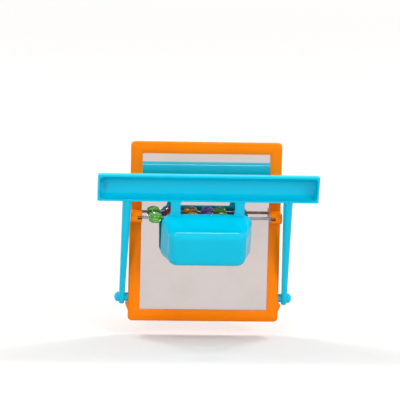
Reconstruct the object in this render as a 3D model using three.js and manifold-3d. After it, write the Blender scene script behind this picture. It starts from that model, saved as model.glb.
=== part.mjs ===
// Bird mirror with a folding perch, a feed cup and a wire of beads.
// Millimetres. X runs across the mirror, Z is up, and -Y faces the bird.
// The origin is the middle of the back cover's flat rear face, which lies against the cage.
import * as THREE from 'three';
import { mergeVertices } from 'three/addons/utils/BufferGeometryUtils.js';
import Module from 'manifold-3d';

const wasm = await Module();
wasm.setup();

// Driving dimensions of the mirror frame.
const WINDOW_WIDTH = 60;
const WINDOW_HEIGHT = 74.5;
const RAIL_WIDTH = 5.5;
const FRAME_DEPTH = 8;
const FRAME_WALL = 2.3;
const LIP_THICKNESS = 1.5;
const LIP_CROWN = 0.35;
const LIP_ROUND = 1.3;
const WINDOW_CORNER_RADIUS = 0.3;
const FRAME_CORNER_RADIUS = 2;
const GROOVE_DEPTH = 0.6;
const GROOVE_WIDTH = 1.2;
const GROOVE_INSET = 0.5;

// Mirror and back cover.
const MIRROR_THICKNESS = 2;
const COVER_THICKNESS = 1.8;
const COVER_RIB = 1.6;
const COVER_RIB_SPACING = 16;
const SNAP_BEAD_HEIGHT = 0.45;

// Clamp on the back that holds the toy on the cage wires.
const BOLT_DIAMETER = 6;
const BOLT_LENGTH = 13;
const BOLT_CHAMFER = 0.8;
const BOLT_HEAD_DIAMETER = 12;
const BOLT_HEAD_THICKNESS = 1.6;
const BOLT_HEIGHT = 16;
const CAGE_WIRE_GAP = 3;
const WASHER_DIAMETER = 24;
const WASHER_THICKNESS = 2;
const WASHER_RIM_ROUND = 0.6;
const NUT_HUB_DIAMETER = 10;
const NUT_HEIGHT = 6;
const NUT_SPAN = 24;
const WING_THICKNESS = 2.4;
const WING_RISE = 1.8;
const WING_TIP_RADIUS = 2.6;

// Bead wire and the two bosses that hold it.
const WIRE_DIAMETER = 1.4;
const WIRE_STANDOFF = 8;
const WIRE_HEIGHT = 8.1;
const WIRE_SEAT_DEPTH = 3.2;
const WIRE_SLOT_DEPTH = 2.2;
const WIRE_END_CHAMFER = 0.25;
const BOSS_RADIUS = 2.5;
const BOSS_WIDTH = 5.2;
const BOSS_OUTER_STEP = 0.2;

// Beads: their size, and the free wire before each one, from the left boss to the right.
const BEAD_DIAMETER = 5.9;
const BEAD_LENGTH = 5.8;
const BEAD_END_DIAMETER = 3.7;
const BEAD_SIDES = 8;
const BEADS = [
  { name: 'bead_green_left', gap: 3.2, color: 0x3f9f2c },
  { name: 'bead_red', gap: 2.5, color: 0x8c1420 },
  { name: 'bead_amber', gap: 3.3, color: 0xc98a1e },
  { name: 'bead_violet', gap: 2.1, color: 0x56309a },
  { name: 'bead_green_right', gap: 0.2, color: 0x4aa832 },
];

// Perch yoke: two arms, the hollow perch bar and the feed cup, in the yoke's own plane.
const FOLD_ANGLE = 21.4;
const PIVOT_ABOVE_BASE = 11;
const PIVOT_DIAMETER = 4;
const PIVOT_ENTRY = 1.9;
const HUB_DIAMETER = 6.8;
const KNOB_DIAMETER = 4.6;
const KNOB_HEIGHT = 2.2;
const ARM_SIDE_GAP = 1.65;
const ARM_THICKNESS_AT_HUB = 2.55;
const ARM_THICKNESS_AT_BAR = 4.3;
const ARM_EDGE_ROUND = 0.9;
const ARM_FLARE = 1.8;
const PERCH_OVERHANG = 11.8;
const PERCH_DIAMETER = 14;
const PERCH_WALL = 1.1;
const PERCH_END_ROUND = 0.8;
const PERCH_RIM_PLANE = -0.3;

const CUP_WIDTH = 42.4;
const CUP_LENGTH = 24.6;
const CUP_DEPTH = 13.5;
const CUP_DRAFT = 4.1;
const CUP_WALL = 1.2;
const CUP_RIM_OVER_BEADS = 1.2;
const CUP_RIM_RADIUS = 5;
const CUP_BASE_RADIUS = 3.6;
const CUP_BASE_ROUND = 2.6;
const STRAP_LENGTH = 6.95;
const STRAP_WIDTH = 4.5;
const STRAP_THICKNESS = 1.5;
const STRAP_HALF_SPACING = 14.9;

// Snap ramp that guides the perch pins into their holes.
const RAMP_SIDE_GAP = 0.45;
const RAMP_LENGTH = 4.2;
const RAMP_WIDTH = 5;

// Clearances and fineness.
const FIT = 0.3;
const PIVOT_CLEARANCE = 0.3;
const ROUND_STEPS = 32;
const CORNER_STEPS = 6;
const OVERLAP = 0.4;

// Places worked out from the driving dimensions.
const FRAME_WIDTH = WINDOW_WIDTH + 2 * RAIL_WIDTH;
const FRAME_HEIGHT = WINDOW_HEIGHT + 2 * RAIL_WIDTH;
const FRONT_Y = -FRAME_DEPTH;
const MIRROR_FRONT_Y = FRONT_Y + LIP_THICKNESS;
const MIRROR_REAR_Y = MIRROR_FRONT_Y + MIRROR_THICKNESS;
const POCKET_OFFSET = RAIL_WIDTH - FRAME_WALL;
const WIRE_Y = MIRROR_FRONT_Y - WIRE_STANDOFF;
const BOSS_OUTER_X = FRAME_WIDTH / 2 - BOSS_OUTER_STEP;
const BOSS_INNER_X = BOSS_OUTER_X - BOSS_WIDTH;
const PIVOT_Y = -FRAME_DEPTH / 2;
const PIVOT_Z = -FRAME_HEIGHT / 2 + PIVOT_ABOVE_BASE;
const HUB_INNER_X = FRAME_WIDTH / 2 + ARM_SIDE_GAP;
const ARM_OUTER_X = HUB_INNER_X + ARM_THICKNESS_AT_HUB;
const PERCH_LENGTH = 2 * (ARM_OUTER_X + PERCH_OVERHANG);
const RAMP_HEIGHT = ARM_SIDE_GAP - RAMP_SIDE_GAP;

// The bead wire as the folded yoke sees it: how far along the arms, and how far out of their plane.
const FOLD = THREE.MathUtils.degToRad(FOLD_ANGLE);
const WIRE_ALONG = (WIRE_HEIGHT - PIVOT_Z) * Math.cos(FOLD) + (PIVOT_Y - WIRE_Y) * Math.sin(FOLD);
const WIRE_OUT = (PIVOT_Y - WIRE_Y) * Math.cos(FOLD) - (WIRE_HEIGHT - PIVOT_Z) * Math.sin(FOLD);
const CUP_TOP = WIRE_ALONG + BEAD_DIAMETER / 2 + CUP_RIM_OVER_BEADS;
const CUP_MIDDLE = CUP_TOP - CUP_LENGTH / 2;
const ARM_END = CUP_TOP + STRAP_LENGTH;
const PERCH_REACH = ARM_END + PERCH_DIAMETER / 2;
const CUP_RIM_PLANE = WIRE_OUT + BEAD_DIAMETER / 2 + FIT;
const NUT_Y = CAGE_WIRE_GAP + WASHER_THICKNESS + FIT;

const ORANGE = { color: 0xf08410, roughness: 0.32, metalness: 0 };
const BLUE = { color: 0x08b4dc, roughness: 0.28, metalness: 0 };
const MIRROR = { color: 0xdcdad8, roughness: 0.04, metalness: 1 };
const STEEL = { color: 0xb9bcc0, roughness: 0.25, metalness: 1 };
const BEAD_FINISH = { roughness: 0.1, metalness: 0 };

// Solids and booleans.

/** Turns a closed three.js geometry into a solid that can be joined and cut. */
function solid(geometry) {
  const bare = geometry.clone();
  bare.deleteAttribute('normal');
  bare.deleteAttribute('uv');
  const merged = mergeVertices(bare, 1e-5);
  return new wasm.Manifold(new wasm.Mesh({
    numProp: 3,
    vertProperties: new Float32Array(merged.attributes.position.array),
    triVerts: new Uint32Array(merged.index.array),
  }));
}

/** Turns a solid back into a geometry with flat faces. */
function geometryOf(body) {
  const mesh = body.getMesh();
  const geometry = new THREE.BufferGeometry();
  geometry.setAttribute('position', new THREE.BufferAttribute(new Float32Array(mesh.vertProperties), 3));
  geometry.setIndex(new THREE.BufferAttribute(new Uint32Array(mesh.triVerts), 1));
  const faceted = geometry.toNonIndexed();
  faceted.computeVertexNormals();
  return faceted;
}

/** Joins several geometries into one solid. */
function join(...geometries) {
  return geometries.map(solid).reduce((whole, next) => whole.add(next));
}

/** Cuts geometries out of a solid. */
function cut(body, ...geometries) {
  return geometries.map(solid).reduce((rest, tool) => rest.subtract(tool), body);
}

// Shapes that several pieces share.

/** A rounded rectangle's corner points, anticlockwise, as [across, along] pairs. */
function roundedRectangle(halfWidth, halfHeight, radius, steps = CORNER_STEPS) {
  const points = [];
  const centres = [[1, 1], [-1, 1], [-1, -1], [1, -1]];
  centres.forEach(([sx, sz], quarter) => {
    for (let i = 0; i <= steps; i += 1) {
      const angle = (quarter + i / steps) * Math.PI / 2;
      points.push([
        sx * (halfWidth - radius) + radius * Math.cos(angle),
        sz * (halfHeight - radius) + radius * Math.sin(angle),
      ]);
    }
  });
  return points;
}

/** Skins a chain of rings; the chain closes on itself, or both its ends are capped. */
function loft(rings, { closed = false } = {}) {
  const count = rings[0].length;
  const points = rings.flat();
  const faces = [];
  const spans = closed ? rings.length : rings.length - 1;
  for (let k = 0; k < spans; k += 1) {
    const a = k * count;
    const b = ((k + 1) % rings.length) * count;
    for (let i = 0; i < count; i += 1) {
      const j = (i + 1) % count;
      faces.push(a + i, a + j, b + i, b + i, a + j, b + j);
    }
  }
  if (!closed) {
    [[rings[0], 0, true], [rings.at(-1), (rings.length - 1) * count, false]].forEach(([ring, base, first]) => {
      const centre = ring.reduce((sum, p) => sum.add(p), new THREE.Vector3()).divideScalar(count);
      const middle = points.push(centre) - 1;
      for (let i = 0; i < count; i += 1) {
        const j = (i + 1) % count;
        faces.push(middle, base + (first ? j : i), base + (first ? i : j));
      }
    });
  }
  return outward(points, faces);
}

/** Builds a geometry whose faces point out, whichever way round its rings were given. */
function outward(points, faces) {
  let volume = 0;
  for (let i = 0; i < faces.length; i += 3) {
    const [a, b, c] = [points[faces[i]], points[faces[i + 1]], points[faces[i + 2]]];
    volume += a.dot(new THREE.Vector3().crossVectors(b, c));
  }
  const index = volume > 0 ? faces : faces.toReversed();
  const geometry = new THREE.BufferGeometry();
  geometry.setAttribute('position', new THREE.Float32BufferAttribute(points.flatMap((p) => [p.x, p.y, p.z]), 3));
  geometry.setIndex(index);
  return geometry;
}

/** A ring in the plane of the mirror, at depth y. */
function ringAt(outline, y, middle = 0) {
  return outline.map(([x, z]) => new THREE.Vector3(x, y, z + middle));
}

/** A flat plate with rounded corners between two depths, its edges broken by a small chamfer. */
function plate(halfWidth, halfHeight, radius, yFront, yRear, chamfer = 0.3) {
  const edge = (inset, y) => ringAt(roundedRectangle(halfWidth - inset, halfHeight - inset, radius), y);
  return loft([
    edge(chamfer, yFront),
    edge(0, yFront + chamfer),
    edge(0, yRear - chamfer),
    edge(chamfer, yRear),
  ]);
}

/** A turned shape about the Y axis from [radius, y] points that start and end on the axis. */
function turnedAlongY(profile, x = 0, z = 0, steps = ROUND_STEPS) {
  const lathe = new THREE.LatheGeometry(profile.map(([r, y]) => new THREE.Vector2(r, y)), steps);
  return lathe.translate(x, 0, z);
}

/** A turned shape about the X axis from [radius, x] points that start and end on the axis. */
function turnedAlongX(profile, y = 0, z = 0, steps = ROUND_STEPS) {
  const lathe = new THREE.LatheGeometry(profile.map(([r, x]) => new THREE.Vector2(r, x)), steps);
  return lathe.rotateZ(-Math.PI / 2).translate(0, y, z);
}

/** A plain box between two corners. */
function block([x0, y0, z0], [x1, y1, z1]) {
  const box = new THREE.BoxGeometry(x1 - x0, y1 - y0, z1 - z0);
  return box.translate((x0 + x1) / 2, (y0 + y1) / 2, (z0 + z1) / 2);
}

/** An outline in the YZ plane, given as [y, z] pairs, extruded across X between two places. */
function extrudedAcross(outline, x0, x1) {
  const rings = [x0, x1].map((x) => outline.map(([y, z]) => new THREE.Vector3(x, y, z)));
  return loft(rings);
}

/** The same piece seen in a mirror that stands across X. */
function mirrored(geometry) {
  const copy = mergeVertices(geometry).scale(-1, 1, 1);
  copy.setIndex(Array.from(copy.index.array).toReversed());
  return copy;
}

// Mirror frame.

/** The frame's moulding: its section is carried round the window, with mitred round corners. */
function frameMoulding() {
  const radiusAt = (offset) => THREE.MathUtils.lerp(
    WINDOW_CORNER_RADIUS, FRAME_CORNER_RADIUS, offset / RAIL_WIDTH);
  const crest = (share) => FRONT_Y + LIP_CROWN * (2 * share - 0.8) ** 2;
  const section = [];
  for (let i = 0; i <= 5; i += 1) {
    const share = i / 5;
    section.push([share * (RAIL_WIDTH - LIP_ROUND), crest(share)]);
  }
  for (let i = 1; i <= 4; i += 1) {
    const angle = i / 4 * Math.PI / 2;
    section.push([
      RAIL_WIDTH - LIP_ROUND * (1 - Math.sin(angle)),
      crest(1) + LIP_ROUND * (1 - Math.cos(angle)),
    ]);
  }
  const groove = -GROOVE_INSET;
  section.push(
    [RAIL_WIDTH, 0],
    [POCKET_OFFSET, 0],
    [POCKET_OFFSET, groove],
    [POCKET_OFFSET + GROOVE_DEPTH, groove - GROOVE_WIDTH / 4],
    [POCKET_OFFSET + GROOVE_DEPTH, groove - GROOVE_WIDTH * 3 / 4],
    [POCKET_OFFSET, groove - GROOVE_WIDTH],
    [POCKET_OFFSET, MIRROR_FRONT_Y],
    [0, MIRROR_FRONT_Y],
  );
  const rings = section.map(([offset, y]) => ringAt(
    roundedRectangle(WINDOW_WIDTH / 2 + offset, WINDOW_HEIGHT / 2 + offset, radiusAt(offset)), y));
  return loft(rings, { closed: true });
}

/** The boss on the right stile that holds one end of the bead wire, round-nosed in front. */
function wireBoss() {
  const outline = [[FRONT_Y + LIP_THICKNESS / 2, WIRE_HEIGHT - BOSS_RADIUS]];
  for (let i = 0; i <= 12; i += 1) {
    const angle = -Math.PI / 2 + i / 12 * Math.PI;
    outline.push([WIRE_Y - BOSS_RADIUS * Math.cos(angle), WIRE_HEIGHT + BOSS_RADIUS * Math.sin(angle)]);
  }
  outline.push([FRONT_Y + LIP_THICKNESS / 2, WIRE_HEIGHT + BOSS_RADIUS]);
  return extrudedAcross(outline, BOSS_INNER_X, BOSS_OUTER_X);
}

/** The hole and the open-fronted slot in the right boss, where the end of the wire lies. */
function wireSeat() {
  const radius = WIRE_DIAMETER / 2 + FIT;
  const reach = BOSS_INNER_X + WIRE_SEAT_DEPTH + FIT;
  const hole = turnedAlongX([[0, BOSS_INNER_X - 1], [radius, BOSS_INNER_X - 1], [radius, reach], [0, reach]],
    WIRE_Y, WIRE_HEIGHT, 16);
  const slot = block(
    [BOSS_INNER_X - 1, WIRE_Y - BOSS_RADIUS - 1, WIRE_HEIGHT - radius],
    [BOSS_INNER_X + WIRE_SLOT_DEPTH, WIRE_Y, WIRE_HEIGHT + radius],
  );
  return [hole, slot];
}

/** The ramp below the right pivot hole; the perch pin rides up it and snaps over its crest. */
function snapRamp() {
  const side = FRAME_WIDTH / 2;
  const crestZ = PIVOT_Z - PIVOT_DIAMETER / 2 - PIVOT_CLEARANCE - RAMP_HEIGHT / 2;
  const outline = [
    [side - FRAME_WALL / 2, crestZ + RAMP_HEIGHT * 0.6],
    [side, crestZ + RAMP_HEIGHT * 0.6],
    [side + RAMP_HEIGHT, crestZ],
    [side + RAMP_HEIGHT, crestZ - RAMP_HEIGHT / 3],
    [side, crestZ - RAMP_LENGTH],
    [side - FRAME_WALL / 2, crestZ - RAMP_LENGTH],
  ];
  const halfWidth = RAMP_WIDTH / 2;
  const rings = [PIVOT_Y - halfWidth, PIVOT_Y + halfWidth].map(
    (y) => outline.map(([x, z]) => new THREE.Vector3(x, y, z)));
  return loft(rings);
}

/** The hole through the right side wall that takes the perch pin. */
function pivotHole() {
  const radius = PIVOT_DIAMETER / 2 + PIVOT_CLEARANCE;
  const inner = FRAME_WIDTH / 2 - FRAME_WALL - 1;
  const outer = FRAME_WIDTH / 2 + 1;
  return turnedAlongX([[0, inner], [radius, inner], [radius, outer], [0, outer]], PIVOT_Y, PIVOT_Z, 24);
}

function mirrorFrame() {
  const added = [wireBoss(), snapRamp()];
  const removed = [...wireSeat(), pivotHole()];
  const whole = join(frameMoulding(), ...added, ...added.map(mirrored));
  return geometryOf(cut(whole, ...removed, ...removed.map(mirrored)));
}

// Mirror, back cover and cage clamp.

function mirrorPlate() {
  const halfWidth = WINDOW_WIDTH / 2 + POCKET_OFFSET - FIT;
  const halfHeight = WINDOW_HEIGHT / 2 + POCKET_OFFSET - FIT;
  return plate(halfWidth, halfHeight, FRAME_CORNER_RADIUS / 2, MIRROR_FRONT_Y, MIRROR_REAR_Y, 0.2);
}

/** The cover: a plate with a snap bead round its edge, a rim and ribs that press on the mirror. */
function backCover() {
  const halfWidth = WINDOW_WIDTH / 2 + POCKET_OFFSET - FIT;
  const halfHeight = WINDOW_HEIGHT / 2 + POCKET_OFFSET - FIT;
  const radius = FRAME_CORNER_RADIUS / 2;
  const edge = (offset, y) => ringAt(roundedRectangle(halfWidth + offset, halfHeight + offset, radius), y);
  const beadMiddle = -GROOVE_INSET - GROOVE_WIDTH / 2;
  const sheet = loft([
    edge(-FIT, 0),
    edge(0, -FIT),
    edge(0, beadMiddle + GROOVE_WIDTH / 3),
    edge(SNAP_BEAD_HEIGHT, beadMiddle + GROOVE_WIDTH / 12),
    edge(SNAP_BEAD_HEIGHT, beadMiddle - GROOVE_WIDTH / 12),
    edge(0, beadMiddle - GROOVE_WIDTH / 3),
    edge(0, -COVER_THICKNESS),
  ]);
  const rimRing = (inset, y) => ringAt(
    roundedRectangle(halfWidth - inset, halfHeight - inset, radius / (inset ? 2 : 1)), y);
  const rim = loft([
    rimRing(0, -COVER_THICKNESS + OVERLAP),
    rimRing(0, MIRROR_REAR_Y),
    rimRing(COVER_RIB, MIRROR_REAR_Y),
    rimRing(COVER_RIB, -COVER_THICKNESS + OVERLAP),
  ], { closed: true });
  const ribs = [-1.5, -0.5, 0.5, 1.5].map((k) => block(
    [k * COVER_RIB_SPACING - COVER_RIB / 2, MIRROR_REAR_Y, -halfHeight + COVER_RIB / 2],
    [k * COVER_RIB_SPACING + COVER_RIB / 2, -COVER_THICKNESS + OVERLAP, halfHeight - COVER_RIB / 2],
  ));
  return geometryOf(cut(join(sheet, rim, ...ribs), boltBore(-COVER_THICKNESS, 0)));
}

/** The clamp bolt: its flat head lies behind the mirror, and its shank stands out of the cover. */
function clampBolt() {
  const radius = BOLT_DIAMETER / 2;
  const headRadius = BOLT_HEAD_DIAMETER / 2;
  const headRear = -COVER_THICKNESS - FIT;
  const headFront = headRear - BOLT_HEAD_THICKNESS;
  return turnedAlongY([
    [0, headFront],
    [headRadius - BOLT_CHAMFER, headFront],
    [headRadius, headFront + BOLT_CHAMFER],
    [headRadius, headRear],
    [radius, headRear],
    [radius, BOLT_LENGTH - BOLT_CHAMFER],
    [radius - BOLT_CHAMFER, BOLT_LENGTH],
    [0, BOLT_LENGTH],
  ], 0, BOLT_HEIGHT);
}

/** The bore that a piece has round the clamp bolt. */
function boltBore(y0, y1) {
  const radius = BOLT_DIAMETER / 2 + FIT;
  return turnedAlongY([[0, y0 - 1], [radius, y0 - 1], [radius, y1 + 1], [0, y1 + 1]], 0, BOLT_HEIGHT);
}

function clampWasher() {
  const radius = WASHER_DIAMETER / 2;
  const front = CAGE_WIRE_GAP;
  const rear = front + WASHER_THICKNESS;
  const disc = turnedAlongY([
    [0, front],
    [radius - WASHER_RIM_ROUND, front],
    [radius, front + WASHER_RIM_ROUND],
    [radius, rear - WASHER_RIM_ROUND],
    [radius - WASHER_RIM_ROUND, rear],
    [0, rear],
  ], 0, BOLT_HEIGHT, 48);
  return geometryOf(cut(solid(disc), boltBore(front, rear)));
}

/** The wing nut: a stepped hub with two wings that rise away from the washer. */
function wingNut() {
  const hubRadius = NUT_HUB_DIAMETER / 2;
  const top = NUT_Y + NUT_HEIGHT;
  const hub = turnedAlongY([
    [0, NUT_Y],
    [hubRadius + 0.8, NUT_Y],
    [hubRadius + 0.8, NUT_Y + 1],
    [hubRadius, NUT_Y + 1.6],
    [hubRadius - 0.6, top],
    [0, top],
  ], 0, BOLT_HEIGHT);
  const outline = new THREE.Shape();
  const tip = NUT_SPAN / 2 - WING_TIP_RADIUS;
  outline.moveTo(0, NUT_Y + 0.6);
  outline.lineTo(hubRadius, NUT_Y + 0.6);
  outline.quadraticCurveTo(tip, NUT_Y + 1.4, NUT_SPAN / 2, top + WING_RISE - WING_TIP_RADIUS);
  outline.absarc(tip, top + WING_RISE - WING_TIP_RADIUS, WING_TIP_RADIUS, 0, Math.PI * 0.8);
  outline.quadraticCurveTo(hubRadius + 1, top - 1, hubRadius - 1, top - 0.6);
  outline.lineTo(0, top - 0.6);
  const wing = new THREE.ExtrudeGeometry(outline, {
    depth: WING_THICKNESS - 1,
    bevelThickness: 0.5,
    bevelSize: 0.4,
    bevelOffset: -0.4,
    bevelSegments: 2,
    curveSegments: 8,
  }).translate(0, 0, BOLT_HEIGHT - (WING_THICKNESS - 1) / 2);
  return geometryOf(cut(join(hub, wing, mirrored(wing)), boltBore(NUT_Y, top + WING_RISE)));
}

// Bead wire and beads.

function beadWire() {
  const radius = WIRE_DIAMETER / 2;
  const end = BOSS_INNER_X + WIRE_SEAT_DEPTH;
  return turnedAlongX([
    [0, -end],
    [radius - WIRE_END_CHAMFER, -end],
    [radius, -end + WIRE_END_CHAMFER],
    [radius, end - WIRE_END_CHAMFER],
    [radius - WIRE_END_CHAMFER, end],
    [0, end],
  ], 0, 0, 16);
}

/** A cut bead: rings of corners, each turned half a side on from the last, so facets are triangles. */
function bead() {
  const radius = BEAD_DIAMETER / 2;
  const endRadius = BEAD_END_DIAMETER / 2;
  const half = BEAD_LENGTH / 2;
  const stations = [
    [-half, endRadius],
    [-half * 0.52, radius * 0.93],
    [0, radius],
    [half * 0.52, radius * 0.93],
    [half, endRadius],
  ];
  const rings = stations.map(([x, r], k) => Array.from({ length: BEAD_SIDES }, (_, i) => {
    const angle = (i + k / 2) * 2 * Math.PI / BEAD_SIDES;
    return new THREE.Vector3(x, r * Math.cos(angle), r * Math.sin(angle));
  }));
  const bore = WIRE_DIAMETER / 2 + FIT;
  const drill = turnedAlongX([[0, -half - 1], [bore, -half - 1], [bore, half + 1], [0, half + 1]], 0, 0, 16);
  return geometryOf(cut(solid(loft(rings)), drill));
}

// Perch yoke. In its own plane Z runs from the pivots to the perch bar,
// -Y is the side that the trough and the base of the cup face, and the origin is on the pivot axis.

/** A half-round bar across X with its flat on the bar's rim plane, its ends broken by a chamfer. */
function halfRound(radius, halfLength, endRound, rise = 0) {
  const steps = 16;
  const section = (inset) => {
    const r = radius - inset;
    const points = [];
    for (let i = 0; i <= steps; i += 1) {
      const angle = i / steps * Math.PI;
      points.push([-PERCH_RIM_PLANE + r * Math.sin(angle), PERCH_REACH + r * Math.cos(angle)]);
    }
    points.push([-PERCH_RIM_PLANE - rise, PERCH_REACH - r], [-PERCH_RIM_PLANE - rise, PERCH_REACH + r]);
    return rise > 0 ? points : points.slice(0, -2);
  };
  const stations = [
    [-halfLength, endRound],
    [-halfLength + endRound * 0.3, endRound * 0.3],
    [-halfLength + endRound, 0],
    [halfLength - endRound, 0],
    [halfLength - endRound * 0.3, endRound * 0.3],
    [halfLength, endRound],
  ];
  return loft(stations.map(([x, inset]) => section(inset).map(([y, z]) => new THREE.Vector3(x, y, z))));
}

function perchBar() {
  const outer = halfRound(PERCH_DIAMETER / 2, PERCH_LENGTH / 2, PERCH_END_ROUND);
  const trough = halfRound(PERCH_DIAMETER / 2 - PERCH_WALL, PERCH_LENGTH / 2 - PERCH_WALL, 1.6, 1);
  return geometryOf(cut(solid(outer), trough));
}

/** The right arm: round-edged, thin at its hub, and flared where it meets the perch bar. */
function perchArm() {
  const hubRadius = HUB_DIAMETER / 2;
  const barRadius = PERCH_DIAMETER / 2;
  const stations = [];
  const steps = 10;
  for (let i = 0; i <= steps; i += 1) {
    const share = i / steps;
    const z = share * (ARM_END - ARM_FLARE);
    stations.push({
      z,
      thickness: THREE.MathUtils.lerp(ARM_THICKNESS_AT_HUB, ARM_THICKNESS_AT_BAR, share),
      front: THREE.MathUtils.lerp(-hubRadius * 0.8, -PERCH_RIM_PLANE, share),
      rear: THREE.MathUtils.lerp(hubRadius * 0.8, barRadius * 0.82, share),
      flare: 0,
    });
  }
  const last = stations.at(-1);
  for (let i = 1; i <= 4; i += 1) {
    const angle = i / 4 * Math.PI / 2;
    stations.push({ ...last, z: last.z + ARM_FLARE * Math.sin(angle), flare: ARM_FLARE * (1 - Math.cos(angle)) });
  }
  stations.push({ ...stations.at(-1), z: PERCH_REACH });
  const rings = stations.map(({ z, thickness, front, rear, flare }) => {
    const outer = ARM_OUTER_X + flare * 0.6;
    const inner = ARM_OUTER_X - thickness - flare;
    const round = Math.min(ARM_EDGE_ROUND, thickness / 2.2);
    return roundedRectangle((outer - inner) / 2, (rear - front) / 2, round, 3).map(
      ([x, y]) => new THREE.Vector3(x + (outer + inner) / 2, y + (front + rear) / 2, z));
  });
  const hub = turnedAlongX([
    [0, HUB_INNER_X],
    [hubRadius - 0.4, HUB_INNER_X],
    [hubRadius, HUB_INNER_X + 0.4],
    [hubRadius, ARM_OUTER_X - 0.4],
    [hubRadius - 0.4, ARM_OUTER_X],
    [0, ARM_OUTER_X],
  ]);
  const pinTip = FRAME_WIDTH / 2 - PIVOT_ENTRY;
  const pinRadius = PIVOT_DIAMETER / 2;
  const pin = turnedAlongX([
    [0, pinTip],
    [pinRadius - 0.4, pinTip],
    [pinRadius, pinTip + 0.4],
    [pinRadius, HUB_INNER_X + OVERLAP],
    [0, HUB_INNER_X + OVERLAP],
  ], 0, 0, 24);
  const knobRadius = KNOB_DIAMETER / 2;
  const knobProfile = [[0, ARM_OUTER_X - OVERLAP], [knobRadius, ARM_OUTER_X - OVERLAP]];
  for (let i = 0; i <= 5; i += 1) {
    const angle = i / 5 * Math.PI / 2;
    knobProfile.push([
      knobRadius * Math.cos(angle),
      ARM_OUTER_X + KNOB_HEIGHT * (0.3 + 0.7 * Math.sin(angle)),
    ]);
  }
  const knob = turnedAlongX(knobProfile, 0, 0, 24);
  const clearOfBar = halfRound(barRadius + FIT, PERCH_LENGTH / 2 + 5, 0.5, barRadius);
  return geometryOf(cut(join(loft(rings), hub, pin, knob), clearOfBar));
}

/** The feed cup: a drafted shell lofted through rounded rectangles. */
function feedCup() {
  const level = (share, inset) => {
    const shrink = CUP_DRAFT * share + inset;
    const radius = THREE.MathUtils.lerp(CUP_RIM_RADIUS, CUP_BASE_RADIUS, share) - inset * 0.6;
    return [CUP_WIDTH / 2 - shrink, CUP_LENGTH / 2 - shrink, Math.max(radius, 0.8)];
  };
  const ring = ([halfWidth, halfLength, radius], depth) => ringAt(
    roundedRectangle(halfWidth, halfLength, radius), -CUP_RIM_PLANE - depth, CUP_MIDDLE);
  const shell = (wall, bottom, round) => {
    const rings = [0, 0.35, 0.7].map((share) => ring(level(share, wall), share * bottom));
    const shoulder = 1 - round / bottom;
    for (let i = 0; i <= 4; i += 1) {
      const angle = i / 4 * Math.PI / 2;
      const inset = wall + round * (1 - Math.cos(angle)) - CUP_DRAFT * (1 - shoulder) * Math.sin(angle) * 0.3;
      rings.push(ring(level(shoulder, inset), bottom - round * (1 - Math.sin(angle))));
    }
    return rings;
  };
  const outer = shell(0, CUP_DEPTH, CUP_BASE_ROUND);
  const inner = shell(CUP_WALL, CUP_DEPTH - CUP_WALL, CUP_BASE_ROUND - CUP_WALL / 2);
  return loft([...outer.toReversed(), ...inner]);
}

/** The right strap: a strip that steps out from the rim of the bar to the rim of the cup. */
function cupStrap() {
  const x0 = STRAP_HALF_SPACING - STRAP_WIDTH / 2;
  const atBar = -PERCH_RIM_PLANE;
  const atCup = -CUP_RIM_PLANE - STRAP_THICKNESS;
  const strip = extrudedAcross([
    [atBar, PERCH_REACH],
    [atBar + STRAP_THICKNESS, PERCH_REACH],
    [atBar + STRAP_THICKNESS, ARM_END],
    [atCup + STRAP_THICKNESS, CUP_TOP + FIT],
    [atCup, CUP_TOP + FIT],
    [atBar, ARM_END],
  ], x0, x0 + STRAP_WIDTH);
  const clearOfBar = halfRound(PERCH_DIAMETER / 2 + FIT, PERCH_LENGTH / 2, 0.5, PERCH_DIAMETER / 2);
  return geometryOf(cut(solid(strip), clearOfBar));
}

// The assembly.

/** A named piece with its own finish. */
function piece(name, geometry, finish) {
  const mesh = new THREE.Mesh(geometry, new THREE.MeshStandardMaterial(finish));
  mesh.name = name;
  return mesh;
}

const toy = new THREE.Group();
toy.add(
  piece('mirror_frame', mirrorFrame(), ORANGE),
  piece('mirror_plate', mirrorPlate(), MIRROR),
  piece('back_cover', backCover(), ORANGE),
  piece('clamp_bolt', clampBolt(), STEEL),
  piece('clamp_washer', clampWasher(), BLUE),
  piece('wing_nut', wingNut(), BLUE),
);

const beadRow = new THREE.Group();
beadRow.position.set(0, WIRE_Y, WIRE_HEIGHT);
beadRow.add(piece('bead_wire', beadWire(), STEEL));
let wireTaken = -BOSS_INNER_X;
BEADS.forEach(({ name, gap, color }) => {
  const mesh = piece(name, bead(), { ...BEAD_FINISH, color });
  mesh.position.x = wireTaken + gap + BEAD_LENGTH / 2;
  wireTaken += gap + BEAD_LENGTH;
  beadRow.add(mesh);
});
toy.add(beadRow);

const yoke = new THREE.Group();
yoke.position.set(0, PIVOT_Y, PIVOT_Z);
yoke.rotation.x = FOLD;
const arm = perchArm();
const strap = cupStrap();
yoke.add(
  piece('perch_bar', perchBar(), BLUE),
  piece('right_arm', arm, BLUE),
  piece('left_arm', mirrored(arm), BLUE),
  piece('feed_cup', feedCup(), BLUE),
  piece('right_strap', strap, BLUE),
  piece('left_strap', mirrored(strap), BLUE),
);
toy.add(yoke);

export default toy;
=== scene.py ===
"""The dressed bird mirror: its smooth mouldings, finishes, studio light and camera.

The sub-assemblies hold their sizes in millimetres, and the meshes are metres in the frame of the
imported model. X runs across the mirror, Z is up and -Y faces the bird. The back cover's rear face
lies in the plane Y = 0.
"""

import logging
import math
from dataclasses import dataclass, field
from enum import Enum
from typing import Iterable, Sequence

import bpy
import numpy as np
from mathutils import Matrix, Vector


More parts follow.
